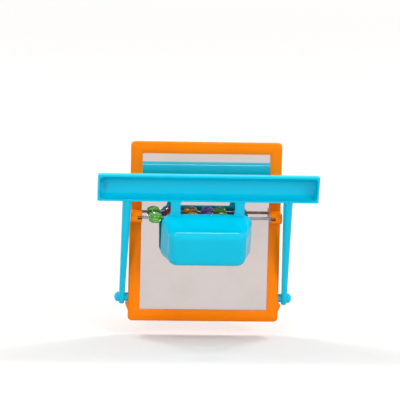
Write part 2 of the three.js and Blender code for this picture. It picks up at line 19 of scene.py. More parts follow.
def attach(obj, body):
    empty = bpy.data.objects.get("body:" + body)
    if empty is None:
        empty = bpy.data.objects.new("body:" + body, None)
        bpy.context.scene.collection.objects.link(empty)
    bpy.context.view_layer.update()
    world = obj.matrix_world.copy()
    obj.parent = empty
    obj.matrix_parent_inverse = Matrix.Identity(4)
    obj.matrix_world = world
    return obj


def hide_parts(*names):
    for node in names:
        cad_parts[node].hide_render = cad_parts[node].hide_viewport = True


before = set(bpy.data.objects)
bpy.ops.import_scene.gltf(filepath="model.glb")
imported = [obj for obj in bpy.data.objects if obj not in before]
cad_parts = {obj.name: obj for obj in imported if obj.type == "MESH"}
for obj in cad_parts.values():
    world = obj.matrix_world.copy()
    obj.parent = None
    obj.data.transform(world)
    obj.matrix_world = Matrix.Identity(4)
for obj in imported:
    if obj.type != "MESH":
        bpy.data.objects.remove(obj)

LOG = logging.getLogger("bird_mirror")
MM = 0.001
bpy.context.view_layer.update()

# The bead wire and the pivot axis, in millimetres, which more than one sub-assembly needs.
WIRE_Y, WIRE_HEIGHT = -14.5, 8.1
PIVOT_Y, PIVOT_Z = -4.0, -31.75

# What a side of no length is divided by, so that it stays without length.
NO_LENGTH = 1e-9

Array = np.ndarray
Colour = tuple[float, float, float, float]
Socket = bpy.types.NodeSocket


class Slot(Enum):
    """The record's material slots; a bead's slot picks the colours and material built for it."""

    FRAME = "frame_plastic"
    PERCH = "perch_plastic"
    WIRE = "wire_steel"
    GREEN = "bead_green"
    RED = "bead_red"
    AMBER = "bead_amber"
    VIOLET = "bead_violet"


class Body(Enum):
    """The rigid bodies that new pieces ride on."""

    MIRROR = "mirror_body"
    YOKE = "perch_yoke"
    WASHER = "cage_washer"
    GREEN_LEFT = "green_bead_left"
    RED = "red_bead"
    AMBER = "amber_bead"
    VIOLET = "violet_bead"
    GREEN_RIGHT = "green_bead_right"


class Join(Enum):
    """What is done with a second solid: it is added, or cut out."""

    ADD = "UNION"
    CUT = "DIFFERENCE"


# Surfaces as whole arrays.


@dataclass
class Surface:
    """A mesh in the making: points in millimetres and faces that index them."""

    points: Array
    faces: list[Array]

    def moved(self, x: float = 0.0, y: float = 0.0, z: float = 0.0) -> "Surface":
        """The same surface at another place, in millimetres."""
        return Surface(self.points + np.array([x, y, z]), self.faces)

    def tilted(self, degrees: float) -> "Surface":
        """The same surface turned about the X axis through the origin."""
        angle = math.radians(degrees)
        turn = np.array([
            [1.0, 0.0, 0.0],
            [0.0, math.cos(angle), -math.sin(angle)],
            [0.0, math.sin(angle), math.cos(angle)],
        ])
        return Surface(self.points @ turn.T, self.faces)

    def across(self) -> "Surface":
        """The same surface seen in a mirror that stands across X, with its faces turned back."""
        flipped = self.points * np.array([-1.0, 1.0, 1.0])
        return Surface(flipped, [block[:, ::-1] for block in self.faces])


def joined(surfaces: Iterable[Surface]) -> Surface:
    """Puts several surfaces into one, face lists and all.

    Args:
        surfaces: the surfaces, each with its own numbering.

    Returns:
        One surface with the points stacked and the faces renumbered.
    """
    points: list[Array] = []
    faces: list[Array] = []
    base = 0
    for surface in surfaces:
        points.append(surface.points)
        faces.extend(block + base for block in surface.faces)
        base += len(surface.points)
    return Surface(np.concatenate(points), faces)


def skin(grid: Array, around: bool = True, along: bool = False, caps: bool = True) -> Surface:
    """Covers a grid of points with quads.

    The point of row i and column j is joined to rows i, i + 1 and columns j, j + 1. Columns wrap
    where the section is a loop, rows wrap where the path is a loop, and an open path may get a fan
    at each end. The faces are turned so that the closed surface has a positive volume.

    Args:
        grid: points as rows, columns, xyz, in millimetres.
        around: whether the columns close on themselves.
        along: whether the rows close on themselves.
        caps: whether the ends of an open path are closed by a fan about their middle.

    Returns:
        The surface.
    """
    rows, columns = grid.shape[:2]
    index = np.arange(rows * columns).reshape(rows, columns)
    right = np.roll(index, -1, axis=1) if around else index[:, 1:]
    left = index if around else index[:, :-1]
    below_left = np.roll(left, -1, axis=0) if along else left[1:]
    below_right = np.roll(right, -1, axis=0) if along else right[1:]
    top_left = left if along else left[:-1]
    top_right = right if along else right[:-1]
    quads = np.stack([top_left, top_right, below_right, below_left], axis=-1).reshape(-1, 4)
    points = grid.reshape(-1, 3)
    faces = [quads]
    if caps and around and not along:
        middles = np.stack([grid[0].mean(axis=0), grid[-1].mean(axis=0)])
        first = np.full(columns, len(points))
        last = first + 1
        points = np.concatenate([points, middles])
        faces.append(np.stack([first, np.roll(index[0], -1), index[0]], axis=-1))
        faces.append(np.stack([last, index[-1], np.roll(index[-1], -1)], axis=-1))
    surface = Surface(points, faces)
    return surface if volume(surface) > 0 else Surface(points, [block[:, ::-1] for block in faces])


def volume(surface: Surface) -> float:
    """Six times the volume inside a closed surface: the sum of a . (b x c) over its triangles.

    Args:
        surface: a closed surface.

    Returns:
        The signed sum, positive where the faces point out.
    """
    total = 0.0
    for block in surface.faces:
        for k in range(1, block.shape[1] - 1):
            a, b, c = (surface.points[block[:, i]] for i in (0, k, k + 1))
            total += float(np.einsum("ij,ij->", a, np.cross(b, c)))
    return total


def rounded_ring(half_width: Array, half_height: Array, radius: Array, corner: int, side: int) -> Array:
    """Rounded rectangles about the origin, one for each row of sizes.

    Every ring runs anticlockwise through four quarter circles of the corner radius, with evenly
    spaced points on the straight stretches between them, so that rings of different sizes pair up
    point by point.

    Args:
        half_width: half the size across, one value for each ring.
        half_height: half the size along, one value for each ring.
        radius: the corner radius, one value for each ring.
        corner: steps in each quarter circle.
        side: steps in each straight stretch.

    Returns:
        Points as rings, places, two coordinates.
    """
    width, height, round_ = (np.atleast_1d(np.asarray(v, float))[:, None] for v in
                             (half_width, half_height, radius))
    signs = np.array([[1, 1], [-1, 1], [-1, -1], [1, -1]], float)
    arcs = []
    for quarter, (sign_x, sign_z) in enumerate(signs):
        angle = (quarter + np.linspace(0.0, 1.0, corner + 1)) * math.pi / 2
        arcs.append(np.stack([
            sign_x * (width - round_) + round_ * np.cos(angle),
            sign_z * (height - round_) + round_ * np.sin(angle),
        ], axis=-1))
    parts = []
    share = (np.arange(1, side) / side)[None, :, None]
    for quarter in range(4):
        arc, following = arcs[quarter], arcs[(quarter + 1) % 4]
        parts.append(arc)
        parts.append(arc[:, -1:, :] * (1 - share) + following[:, :1, :] * share)
    return np.concatenate(parts, axis=1)


def arc_points(centre: tuple[float, float], radius: float, start: float, end: float, steps: int) -> Array:
    """Points on a circular arc: the centre plus radius times cosine and sine of the angle.

    Args:
        centre: the arc's centre in the profile's plane.
        radius: the arc's radius.
        start: first angle in degrees.
        end: last angle in degrees.
        steps: number of steps between them.

    Returns:
        Points as rows of two coordinates.
    """
    angle = np.radians(np.linspace(start, end, steps + 1))
    return np.stack([centre[0] + radius * np.cos(angle), centre[1] + radius * np.sin(angle)], axis=-1)


def grid_of(x: Array, y: Array, z: Array) -> Array:
    """Three arrays of coordinates, stretched to one shape, as a grid of points."""
    return np.stack(np.broadcast_arrays(x, y, z), axis=-1)


def full_turn(steps: int) -> Array:
    """Evenly spaced angles once round, as one row."""
    return np.linspace(0.0, 2 * math.pi, steps, endpoint=False)[None, :]


def turned(profile: Array, steps: int) -> Surface:
    """A profile of (radius, height) points carried round the X axis.

    Each point goes to radius times cosine and sine of the turn in the plane across the axis, and
    to its height along it. The profile starts and ends on the axis.

    Args:
        profile: rows of radius and height in millimetres.
        steps: steps in the full turn.

    Returns:
        The closed surface.
    """
    turn = full_turn(steps)
    radius, height = profile[1:-1, 0][:, None], profile[1:-1, 1][:, None]
    surface = skin(grid_of(height, radius * np.cos(turn), radius * np.sin(turn)))
    surface.points[-2:] = 0.0
    surface.points[-2:, 0] = profile[[0, -1], 1]
    return surface


def rod(radius: float, start: float, end: float, steps: int, ease: float = 0.0) -> Surface:
    """A round rod along the X axis: a rectangle from the axis out, carried round it.

    Args:
        radius: the rod's radius.
        start: the level of one end.
        end: the level of the other.
        steps: steps in the full turn.
        ease: how far from each edge the curve that rounds it starts, or 0 for a sharp edge.

    Returns:
        The closed surface.
    """
    profile = [(0.0, start), (radius, start), (radius, end), (0.0, end)]
    return turned(softened(profile, ease) if ease else np.array(profile), steps)


def softened(profile: Sequence[tuple[float, float]], radius: float, steps: int = 4) -> Array:
    """Rounds the inner corners of a profile.

    Each corner is replaced by a quadratic curve that leaves both its sides a radius away from it,
    or a third of a short side away.

    Args:
        profile: corner points in order.
        radius: how far from each corner the curve starts.
        steps: steps in each curve.

    Returns:
        Points as rows of two coordinates.
    """
    corners = np.asarray(profile, float)
    share = np.linspace(0.0, 1.0, steps + 1)[:, None]
    points = [corners[:1]]
    for before, corner, after in zip(corners[:-2], corners[1:-1], corners[2:]):
        sides = before - corner, after - corner
        lengths = [np.linalg.norm(side) for side in sides]
        start, end = (corner + side * (min(radius, length / 3) / max(length, NO_LENGTH))
                      for side, length in zip(sides, lengths))
        points.append((1 - share) ** 2 * start + 2 * share * (1 - share) * corner + share ** 2 * end)
    points.append(corners[-1:])
    return np.concatenate(points)


# Blender objects from surfaces.


def mark_sharp_edges(mesh: bpy.types.Mesh, degrees: float) -> None:
    """Shades a mesh smooth and marks as sharp each edge whose two faces meet at a larger angle.

    The angle is the arc cosine of the dot product of the two faces' normals, found for all edges
    at once by sorting the loops by edge.

    Args:
        mesh: the mesh, with its faces in place.
        degrees: the angle past which an edge is sharp.
    """
    count = len(mesh.loops)
    loop_edge = np.zeros(count, np.int32)
    mesh.loops.foreach_get("edge_index", loop_edge)
    sides = np.zeros(len(mesh.polygons), np.int32)
    mesh.polygons.foreach_get("loop_total", sides)
    loop_face = np.repeat(np.arange(len(mesh.polygons)), sides)
    normals = np.zeros(len(mesh.polygons) * 3, np.float32)
    mesh.polygons.foreach_get("normal", normals)
    normals = normals.reshape(-1, 3)
    order = np.argsort(loop_edge, kind="stable")
    edges, faces = loop_edge[order], loop_face[order]
    pair = np.nonzero(edges[1:] == edges[:-1])[0]
    cosine = np.einsum("ij,ij->i", normals[faces[pair]], normals[faces[pair + 1]])
    sharp = np.zeros(len(mesh.edges), bool)
    sharp[edges[pair]] = cosine < math.cos(math.radians(degrees))
    mesh.polygons.foreach_set("use_smooth", np.ones(len(mesh.polygons), bool))
    attribute = mesh.attributes.get("sharp_edge") or mesh.attributes.new("sharp_edge", "BOOLEAN", "EDGE")
    attribute.data.foreach_set("value", sharp)
    mesh.update()


def make_object(name: str, surface: Surface, sharp_degrees: float = 35.0) -> bpy.types.Object:
    """Turns a surface in millimetres into a Blender object at the origin, in metres.

    Args:
        name: the object's name.
        surface: the surface.
        sharp_degrees: the angle past which an edge stays sharp.

    Returns:
        The linked object.
    """
    mesh = bpy.data.meshes.new(name)
    faces = [face for block in surface.faces for face in block.tolist()]
    mesh.from_pydata((surface.points * MM).tolist(), [], faces)
    mesh.update()
    mark_sharp_edges(mesh, sharp_degrees)
    piece = bpy.data.objects.new(name, mesh)
    bpy.context.scene.collection.objects.link(piece)
    return piece


def combined(piece: bpy.types.Object, others: Sequence[bpy.types.Object], how: Join) -> None:
    """Adds closed objects to a piece, or cuts them out, and keeps the result as the piece's mesh.

    Args:
        piece: the piece that is changed.
        others: closed objects, which are removed afterwards.
        how: whether they are added or cut out.
    """
    for other in others:
        modifier = piece.modifiers.new(other.name, "BOOLEAN")
        modifier.operation = how.value
        modifier.solver = "EXACT"
        modifier.object = other
    bpy.context.view_layer.update()
    result = bpy.data.meshes.new_from_object(piece.evaluated_get(bpy.context.evaluated_depsgraph_get()))
    piece.modifiers.clear()
    piece.data = result
    for other in others:
        bpy.data.objects.remove(other)


def finish_with(solid: bpy.types.Object, material: bpy.types.Material) -> None:
    """Gives an object one material in place of those it has."""
    solid.data.materials.clear()
    solid.data.materials.append(material)


def place(piece: bpy.types.Object, body: Body, material: bpy.types.Material, node: str) -> None:
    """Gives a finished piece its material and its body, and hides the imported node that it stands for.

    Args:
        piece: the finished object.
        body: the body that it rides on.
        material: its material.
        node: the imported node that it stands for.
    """
    finish_with(piece, material)
    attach(piece, body.value)
    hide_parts(node)
    LOG.info("%s: %d faces, rides on %s", piece.name, len(piece.data.polygons), body.value)


def refinish(node: str, material: bpy.types.Material) -> None:
    """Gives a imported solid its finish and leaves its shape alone."""
    finish_with(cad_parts[node], material)
    LOG.info("%s: packed solid, new finish", node)


# Shader graphs.


@dataclass(frozen=True)
class Grain:
    """A noise over a surface, and the stretch of its value that a mask spreads from 0 upwards.

    The scale is per metre, or plain where a Mapping node has stretched the place before.
    """

    scale: float
    detail: float = 2.0
    roughness: float = 0.5
    low: float = 0.0
    high: float = 1.0


class Graph:
    """A node tree with short ways to add nodes and links."""

    MIX_INPUTS = (0, 6, 7)
    MIX_OUTPUT = 2

    def __init__(self, tree: bpy.types.NodeTree) -> None:
        """Keeps the tree that nodes are added to."""
        self.tree = tree

    def feed(self, target: Socket, value: object) -> None:
        """Links a socket to the target, or sets a number, vector or colour there."""
        if isinstance(value, bpy.types.NodeSocket):
            self.tree.links.new(value, target)
        else:
            target.default_value = value

    def fill(self, node: bpy.types.Node, **settings: object) -> bpy.types.Node:
        """Sets a node's properties, and sets or links its input sockets by name.

        Args:
            node: the node.
            settings: properties by their own names, and sockets with underscores for spaces.

        Returns:
            The node.
        """
        for name, value in settings.items():
            if hasattr(node, name):
                setattr(node, name, value)
            else:
                self.feed(node.inputs[name.replace("_", " ")], value)
        return node

    def add(self, kind: str, **settings: object) -> bpy.types.Node:
        """Adds a node of a kind and fills it."""
        return self.fill(self.tree.nodes.new(kind), **settings)

    def where(self) -> Socket:
        """The place on the object that a pattern reads."""
        return self.add("ShaderNodeTexCoord").outputs["Object"]

    def stretched(self, where: Socket, **settings: object) -> Socket:
        """The place after a Mapping node with the given Rotation and Scale."""
        return self.add("ShaderNodeMapping", Vector=where, **settings).outputs[0]

    def math(self, operation: str, first: object, second: object) -> Socket:
        """A Math node on two sockets or numbers.

        Args:
            operation: the operation's name.
            first: a socket or a number.
            second: a socket or a number.

        Returns:
            The result's socket.
        """
        node = self.add("ShaderNodeMath", operation=operation)
        self.feed(node.inputs[0], first)
        self.feed(node.inputs[1], second)
        return node.outputs[0]

    def ramp(self, source: Socket, low: float, high: float, to_low: float, to_high: float) -> Socket:
        """Maps a stretch of values to another, held at its ends.

        Args:
            source: the value.
            low: where the stretch starts.
            high: where it ends.
            to_low: what the start becomes.
            to_high: what the end becomes.

        Returns:
            The result's socket.
        """
        node = self.add("ShaderNodeMapRange", clamp=True)
        for target, value in zip(node.inputs, (source, low, high, to_low, to_high)):
            self.feed(target, value)
        return node.outputs[0]

    def blend(self, share: object, first: object, second: object) -> Socket:
        """Mixes two colours, each a socket or four numbers, by a share.

        Args:
            share: a socket or a number from 0 to 1.
            first: the colour at 0.
            second: the colour at 1.

        Returns:
            The mixed colour's socket.
        """
        node = self.add("ShaderNodeMix", data_type="RGBA")
        for number, value in zip(self.MIX_INPUTS, (share, first, second)):
            self.feed(node.inputs[number], value)
        return node.outputs[self.MIX_OUTPUT]

    def noise(self, where: Socket, grain: Grain) -> Socket:
        """A noise value that changes over the surface."""
        return self.add("ShaderNodeTexNoise", Vector=where, Scale=grain.scale, Detail=grain.detail,
                        Roughness=grain.roughness).outputs[0]

    def mask(self, where: Socket, grain: Grain, top: float = 1.0) -> Socket:
        """A noise whose counted stretch is spread from 0 to the top and held at its ends."""
        return self.ramp(self.noise(where, grain), grain.low, grain.high, 0.0, top)


def srgb(red: int, green: int, blue: int) -> Colour:
    """A colour written as it looks on screen, turned to the linear values that a shader reads.

    The screen's standard curve is straight near black and a power above that.

    Args:
        red: 0 to 255.
        green: 0 to 255.
        blue: 0 to 255.

    Returns:
        Linear red, green and blue, and an alpha of 1.
    """
    knee, slope, offset, power, full = 0.04045, 12.92, 0.055, 2.4, 255
    share = np.array([red, green, blue]) / full
    linear = np.where(share <= knee, share / slope, ((share + offset) / (1 + offset)) ** power)
    return (*linear.tolist(), 1.0)


def new_group(name: str, inputs: Sequence[tuple[str, str, object]],
              outputs: Sequence[tuple[str, str]]) -> tuple[bpy.types.NodeTree, Graph,
                                                           bpy.types.Node, bpy.types.Node]:
    """An empty shader group with named sockets.

    Args:
        name: the group's name.
        inputs: socket name, socket type and default for each input.
        outputs: socket name and type for each output.

    Returns:
        The tree, its graph, the group's input node and its output node.
    """
    tree = bpy.data.node_groups.new(name, "ShaderNodeTree")
    for label, kind, default in inputs:
        socket = tree.interface.new_socket(label, in_out="INPUT", socket_type=kind)
        socket.default_value = default
    for label, kind in outputs:
        tree.interface.new_socket(label, in_out="OUTPUT", socket_type=kind)
    graph = Graph(tree)
    return tree, graph, graph.add("NodeGroupInput"), graph.add("NodeGroupOutput")


@dataclass
class SurfaceEffects:
    """The node groups that more than one finish uses, each built once."""

    flow: Grain = Grain(38.0, detail=3.0, low=0.32, high=0.68)
    flow_share: float = 0.8
    speckle: Grain = Grain(900.0, low=0.35, high=0.65)
    speckle_share: float = 0.2
    peel: Grain = Grain(1500.0, detail=1.0)
    peel_share: float = 0.25
    sink_marks: Grain = Grain(120.0, detail=1.0)
    sink_share: float = 0.75
    smudge: Grain = Grain(160.0, detail=4.0, roughness=0.6, low=0.42, high=0.72)
    hairline: Grain = Grain(1.0, detail=1.0, low=0.70, high=0.76)
    hairline_turn: tuple[float, float, float] = (0.4, 0.9, 0.6)
    hairline_scale: tuple[float, float, float] = (2200.0, 60.0, 2200.0)
    scratched: Grain = Grain(90.0, detail=1.0, low=0.52, high=0.62)
    moulded: bpy.types.NodeTree = field(init=False)
    handled: bpy.types.NodeTree = field(init=False)

    def __post_init__(self) -> None:
        """Builds both groups."""
        self.moulded = self._moulded_skin()
        self.handled = self._handling()

    def _moulded_skin(self) -> bpy.types.NodeTree:
        """Colour and height of injection-moulded plastic.

        The colour drifts between its plain and its deep value where the melt flowed, a large noise
        plus a fine one, and the height adds faint sink marks to a fine orange-peel ripple.

        Returns:
            The group.
        """
        tree, graph, source, sink = new_group(
            "moulded_skin",
            [("Plain", "NodeSocketColor", (0.8, 0.8, 0.8, 1.0)),
             ("Deep", "NodeSocketColor", (0.6, 0.6, 0.6, 1.0)),
             ("Drift", "NodeSocketFloat", 0.5)],
            [("Color", "NodeSocketColor"), ("Height", "NodeSocketFloat")],
        )
        where = graph.where()
        melt = graph.math("ADD", graph.math("MULTIPLY", graph.mask(where, self.flow), self.flow_share),
                          graph.math("MULTIPLY", graph.mask(where, self.speckle), self.speckle_share))
        share = graph.math("MULTIPLY", melt, source.outputs["Drift"])
        height = graph.math("ADD", graph.math("MULTIPLY", graph.noise(where, self.peel), self.peel_share),
                            graph.math("MULTIPLY", graph.noise(where, self.sink_marks), self.sink_share))
        graph.fill(sink, Height=height,
                   Color=graph.blend(share, source.outputs["Plain"], source.outputs["Deep"]))
        return tree

    def _handling(self) -> bpy.types.NodeTree:
        """Roughness of a surface that has been handled.

        Smudges come from a mid-sized noise, and hairline scratches from a noise that is stretched
        along one direction, so that only its narrow crests count.

        Returns:
            The group.
        """
        tree, graph, source, sink = new_group(
            "handling",
            [("Smooth", "NodeSocketFloat", 0.2), ("Dull", "NodeSocketFloat", 0.4),
             ("Scratches", "NodeSocketFloat", 0.3)],
            [("Roughness", "NodeSocketFloat")],
        )
        where = graph.where()
        along = graph.stretched(where, Rotation=self.hairline_turn, Scale=self.hairline_scale)
        crest = graph.math("MULTIPLY", graph.mask(along, self.hairline), graph.mask(where, self.scratched))
        scratch = graph.math("MULTIPLY", crest, source.outputs["Scratches"])
        share = graph.math("MAXIMUM", graph.mask(where, self.smudge), scratch)
        span = graph.math("SUBTRACT", source.outputs["Dull"], source.outputs["Smooth"])
        rough = graph.math("ADD", source.outputs["Smooth"], graph.math("MULTIPLY", span, share))
        graph.fill(sink, Roughness=rough)
        return tree


def new_material(name: str) -> tuple[bpy.types.Material, Graph, bpy.types.Node]:
    """An empty material with a Principled BSDF wired to its output.

    Args:
        name: the material's name.

    Returns:
        The material, its graph and its shader node.
    """
    material = bpy.data.materials.new(name)
    material.use_nodes = True
    material.node_tree.nodes.clear()
    graph = Graph(material.node_tree)
    shader = graph.add("ShaderNodeBsdfPrincipled")
    graph.add("ShaderNodeOutputMaterial", Surface=shader.outputs[0])
    return material, graph, shader


@dataclass(frozen=True, kw_only=True)
class Finish:
    """What every finish has: a name, and how smudges and scratches dull it."""

    name: str
    smooth: float
    dull: float
    scratches: float

    def build(self, effects: SurfaceEffects) -> bpy.types.Material:
        """Makes the material: its roughness follows the handling group, the rest is the finish's own.

        Args:
            effects: the shared node groups.

        Returns:
            The material.
        """
        material, graph, shader = new_material(self.name)
        touch = graph.add("ShaderNodeGroup", node_tree=effects.handled, Smooth=self.smooth, Dull=self.dull,
                          Scratches=self.scratches)
        graph.fill(shader, Roughness=touch.outputs["Roughness"])
        self.dress(graph, shader, effects)
        return material

    def dress(self, graph: Graph, shader: bpy.types.Node, effects: SurfaceEffects) -> None:
        """Feeds the shader's other sockets, in each finish's own way.

        Args:
            graph: the material's graph.
            shader: its shader node.
            effects: the shared node groups.
        """
        raise NotImplementedError


@dataclass(frozen=True, kw_only=True)
class MouldedPlastic(Finish):
    """Glossy coloured plastic straight from the mould. The depth of its relief is metres."""

    plain: Colour
    deep: Colour
    scratches: float = 0.35
    drift: float = 0.45
    ripple: float = 0.35
    relief: float = 0.00002
    bend: float = 1.2

    def dress(self, graph: Graph, shader: bpy.types.Node, effects: SurfaceEffects) -> None:
        """Colour and a faint relief come from the group of moulded plastic.

        Args:
            graph: the material's graph.
            shader: its shader node.
            effects: the shared node groups.
        """
        moulded = graph.add("ShaderNodeGroup", node_tree=effects.moulded, Plain=self.plain, Deep=self.deep,
                            Drift=self.drift)
        bump = graph.add("ShaderNodeBump", Strength=self.ripple, Distance=self.relief,
                         Height=moulded.outputs["Height"])
        graph.fill(shader, Base_Color=moulded.outputs["Color"], Normal=bump.outputs[0], IOR=self.bend)


@dataclass(frozen=True, kw_only=True)
class SilveredGlass(Finish):
    """A small glass mirror: bright, slightly warm, with faint smudges."""

    name: str = "silvered_glass"
    silver: Colour = srgb(213, 203, 201)
    cloudy: Colour = srgb(206, 196, 192)
    clouds: Grain = Grain(55.0, detail=3.0, roughness=0.6, low=0.45, high=0.75)
    smooth: float = 0.015
    dull: float = 0.05
    scratches: float = 0.2

    def dress(self, graph: Graph, shader: bpy.types.Node, effects: SurfaceEffects) -> None:
        """A mirror's metal, a little duller in its clouds."""
        cloud = graph.mask(graph.where(), self.clouds)
        graph.fill(shader, Base_Color=graph.blend(cloud, self.silver, self.cloudy), Metallic=1.0)


@dataclass(frozen=True, kw_only=True)
class DrawnSteel(Finish):
    """Steel with a fine relief: lines along a drawn wire, an even grain on a plated bolt.

    The depth of the relief is metres.
    """

    colour: Colour = srgb(198, 199, 202)
    stain: Colour = srgb(150, 148, 146)
    stains: Grain = Grain(260.0, detail=3.0, low=0.45, high=0.75)
    stain_most: float = 0.6
    smooth: float = 0.14
    dull: float = 0.34
    scratches: float = 0.4
    lines: tuple[float, float, float] = (60.0, 4200.0, 4200.0)
    drawn: Grain = Grain(1.0)
    line_strength: float = 0.3
    line_depth: float = 0.00001

    def dress(self, graph: Graph, shader: bpy.types.Node, effects: SurfaceEffects) -> None:
        """Stains in the colour, and a relief from a noise that is scaled along each axis.

        Args:
            graph: the material's graph.
            shader: its shader node.
            effects: the shared node groups, not used here.
        """
        where = graph.where()
        drawn = graph.noise(graph.stretched(where, Scale=self.lines), self.drawn)
        bump = graph.add("ShaderNodeBump", Strength=self.line_strength, Distance=self.line_depth,
                         Height=drawn)
        stain = graph.mask(where, self.stains, self.stain_most)
        graph.fill(shader, Base_Color=graph.blend(stain, self.colour, self.stain), Normal=bump.outputs[0],
                   Metallic=1.0)


@dataclass(frozen=True, kw_only=True)
class ClearBead(Finish):
    """See-through coloured plastic, a little deeper in colour in some places than in others."""

    tint: Colour
    swirl: Colour
    streaks: Grain = Grain(420.0, roughness=0.4, low=0.4, high=0.65)
    clarity: float = 0.8
    bend: float = 1.49
    smooth: float = 0.02
    dull: float = 0.07
    scratches: float = 0.5

    def dress(self, graph: Graph, shader: bpy.types.Node, effects: SurfaceEffects) -> None:
        """Coloured clear plastic with streaks of a deeper tint."""
        streak = graph.mask(graph.where(), self.streaks)
        graph.fill(shader, Base_Color=graph.blend(streak, self.tint, self.swirl), IOR=self.bend,
                   Transmission_Weight=self.clarity)


BEAD_COLOURS = {
    Slot.GREEN: (srgb(150, 236, 120), srgb(115, 220, 85)),
    Slot.RED: (srgb(240, 110, 120), srgb(225, 65, 80)),
    Slot.AMBER: (srgb(255, 225, 110), srgb(250, 170, 60)),
    Slot.VIOLET: (srgb(180, 160, 250), srgb(120, 120, 235)),
}


@dataclass
class Finishes:
    """Every material of the toy, built once."""

    effects: SurfaceEffects = field(default_factory=SurfaceEffects)
    orange: bpy.types.Material = field(init=False)
    blue: bpy.types.Material = field(init=False)
    glass: bpy.types.Material = field(init=False)
    wire: bpy.types.Material = field(init=False)
    bolt: bpy.types.Material = field(init=False)
    beads: dict[Slot, bpy.types.Material] = field(init=False)

    def __post_init__(self) -> None:
        """Builds the materials."""
        self.orange = MouldedPlastic(name="orange_moulding", plain=srgb(246, 128, 0), deep=srgb(234, 110, 0),
                                     smooth=0.18, dull=0.3).build(self.effects)
        self.blue = MouldedPlastic(name="blue_moulding", plain=srgb(0, 190, 222), deep=srgb(0, 180, 212),
                                   smooth=0.08, dull=0.16, bend=1.28).build(self.effects)
        self.glass = SilveredGlass().build(self.effects)
        self.wire = DrawnSteel(name="drawn_wire", colour=srgb(158, 159, 161),
                               stain=srgb(122, 120, 118)).build(self.effects)
        self.bolt = DrawnSteel(name="plated_bolt", lines=(3000.0, 3000.0, 3000.0), smooth=0.2,
                               dull=0.42).build(self.effects)
        self.beads = {
            slot: ClearBead(name=f"{slot.name.lower()}_bead", tint=tint, swirl=swirl).build(self.effects)
            for slot, (tint, swirl) in BEAD_COLOURS.items()
        }


# The toy's sub-assemblies. Sizes are millimetres.


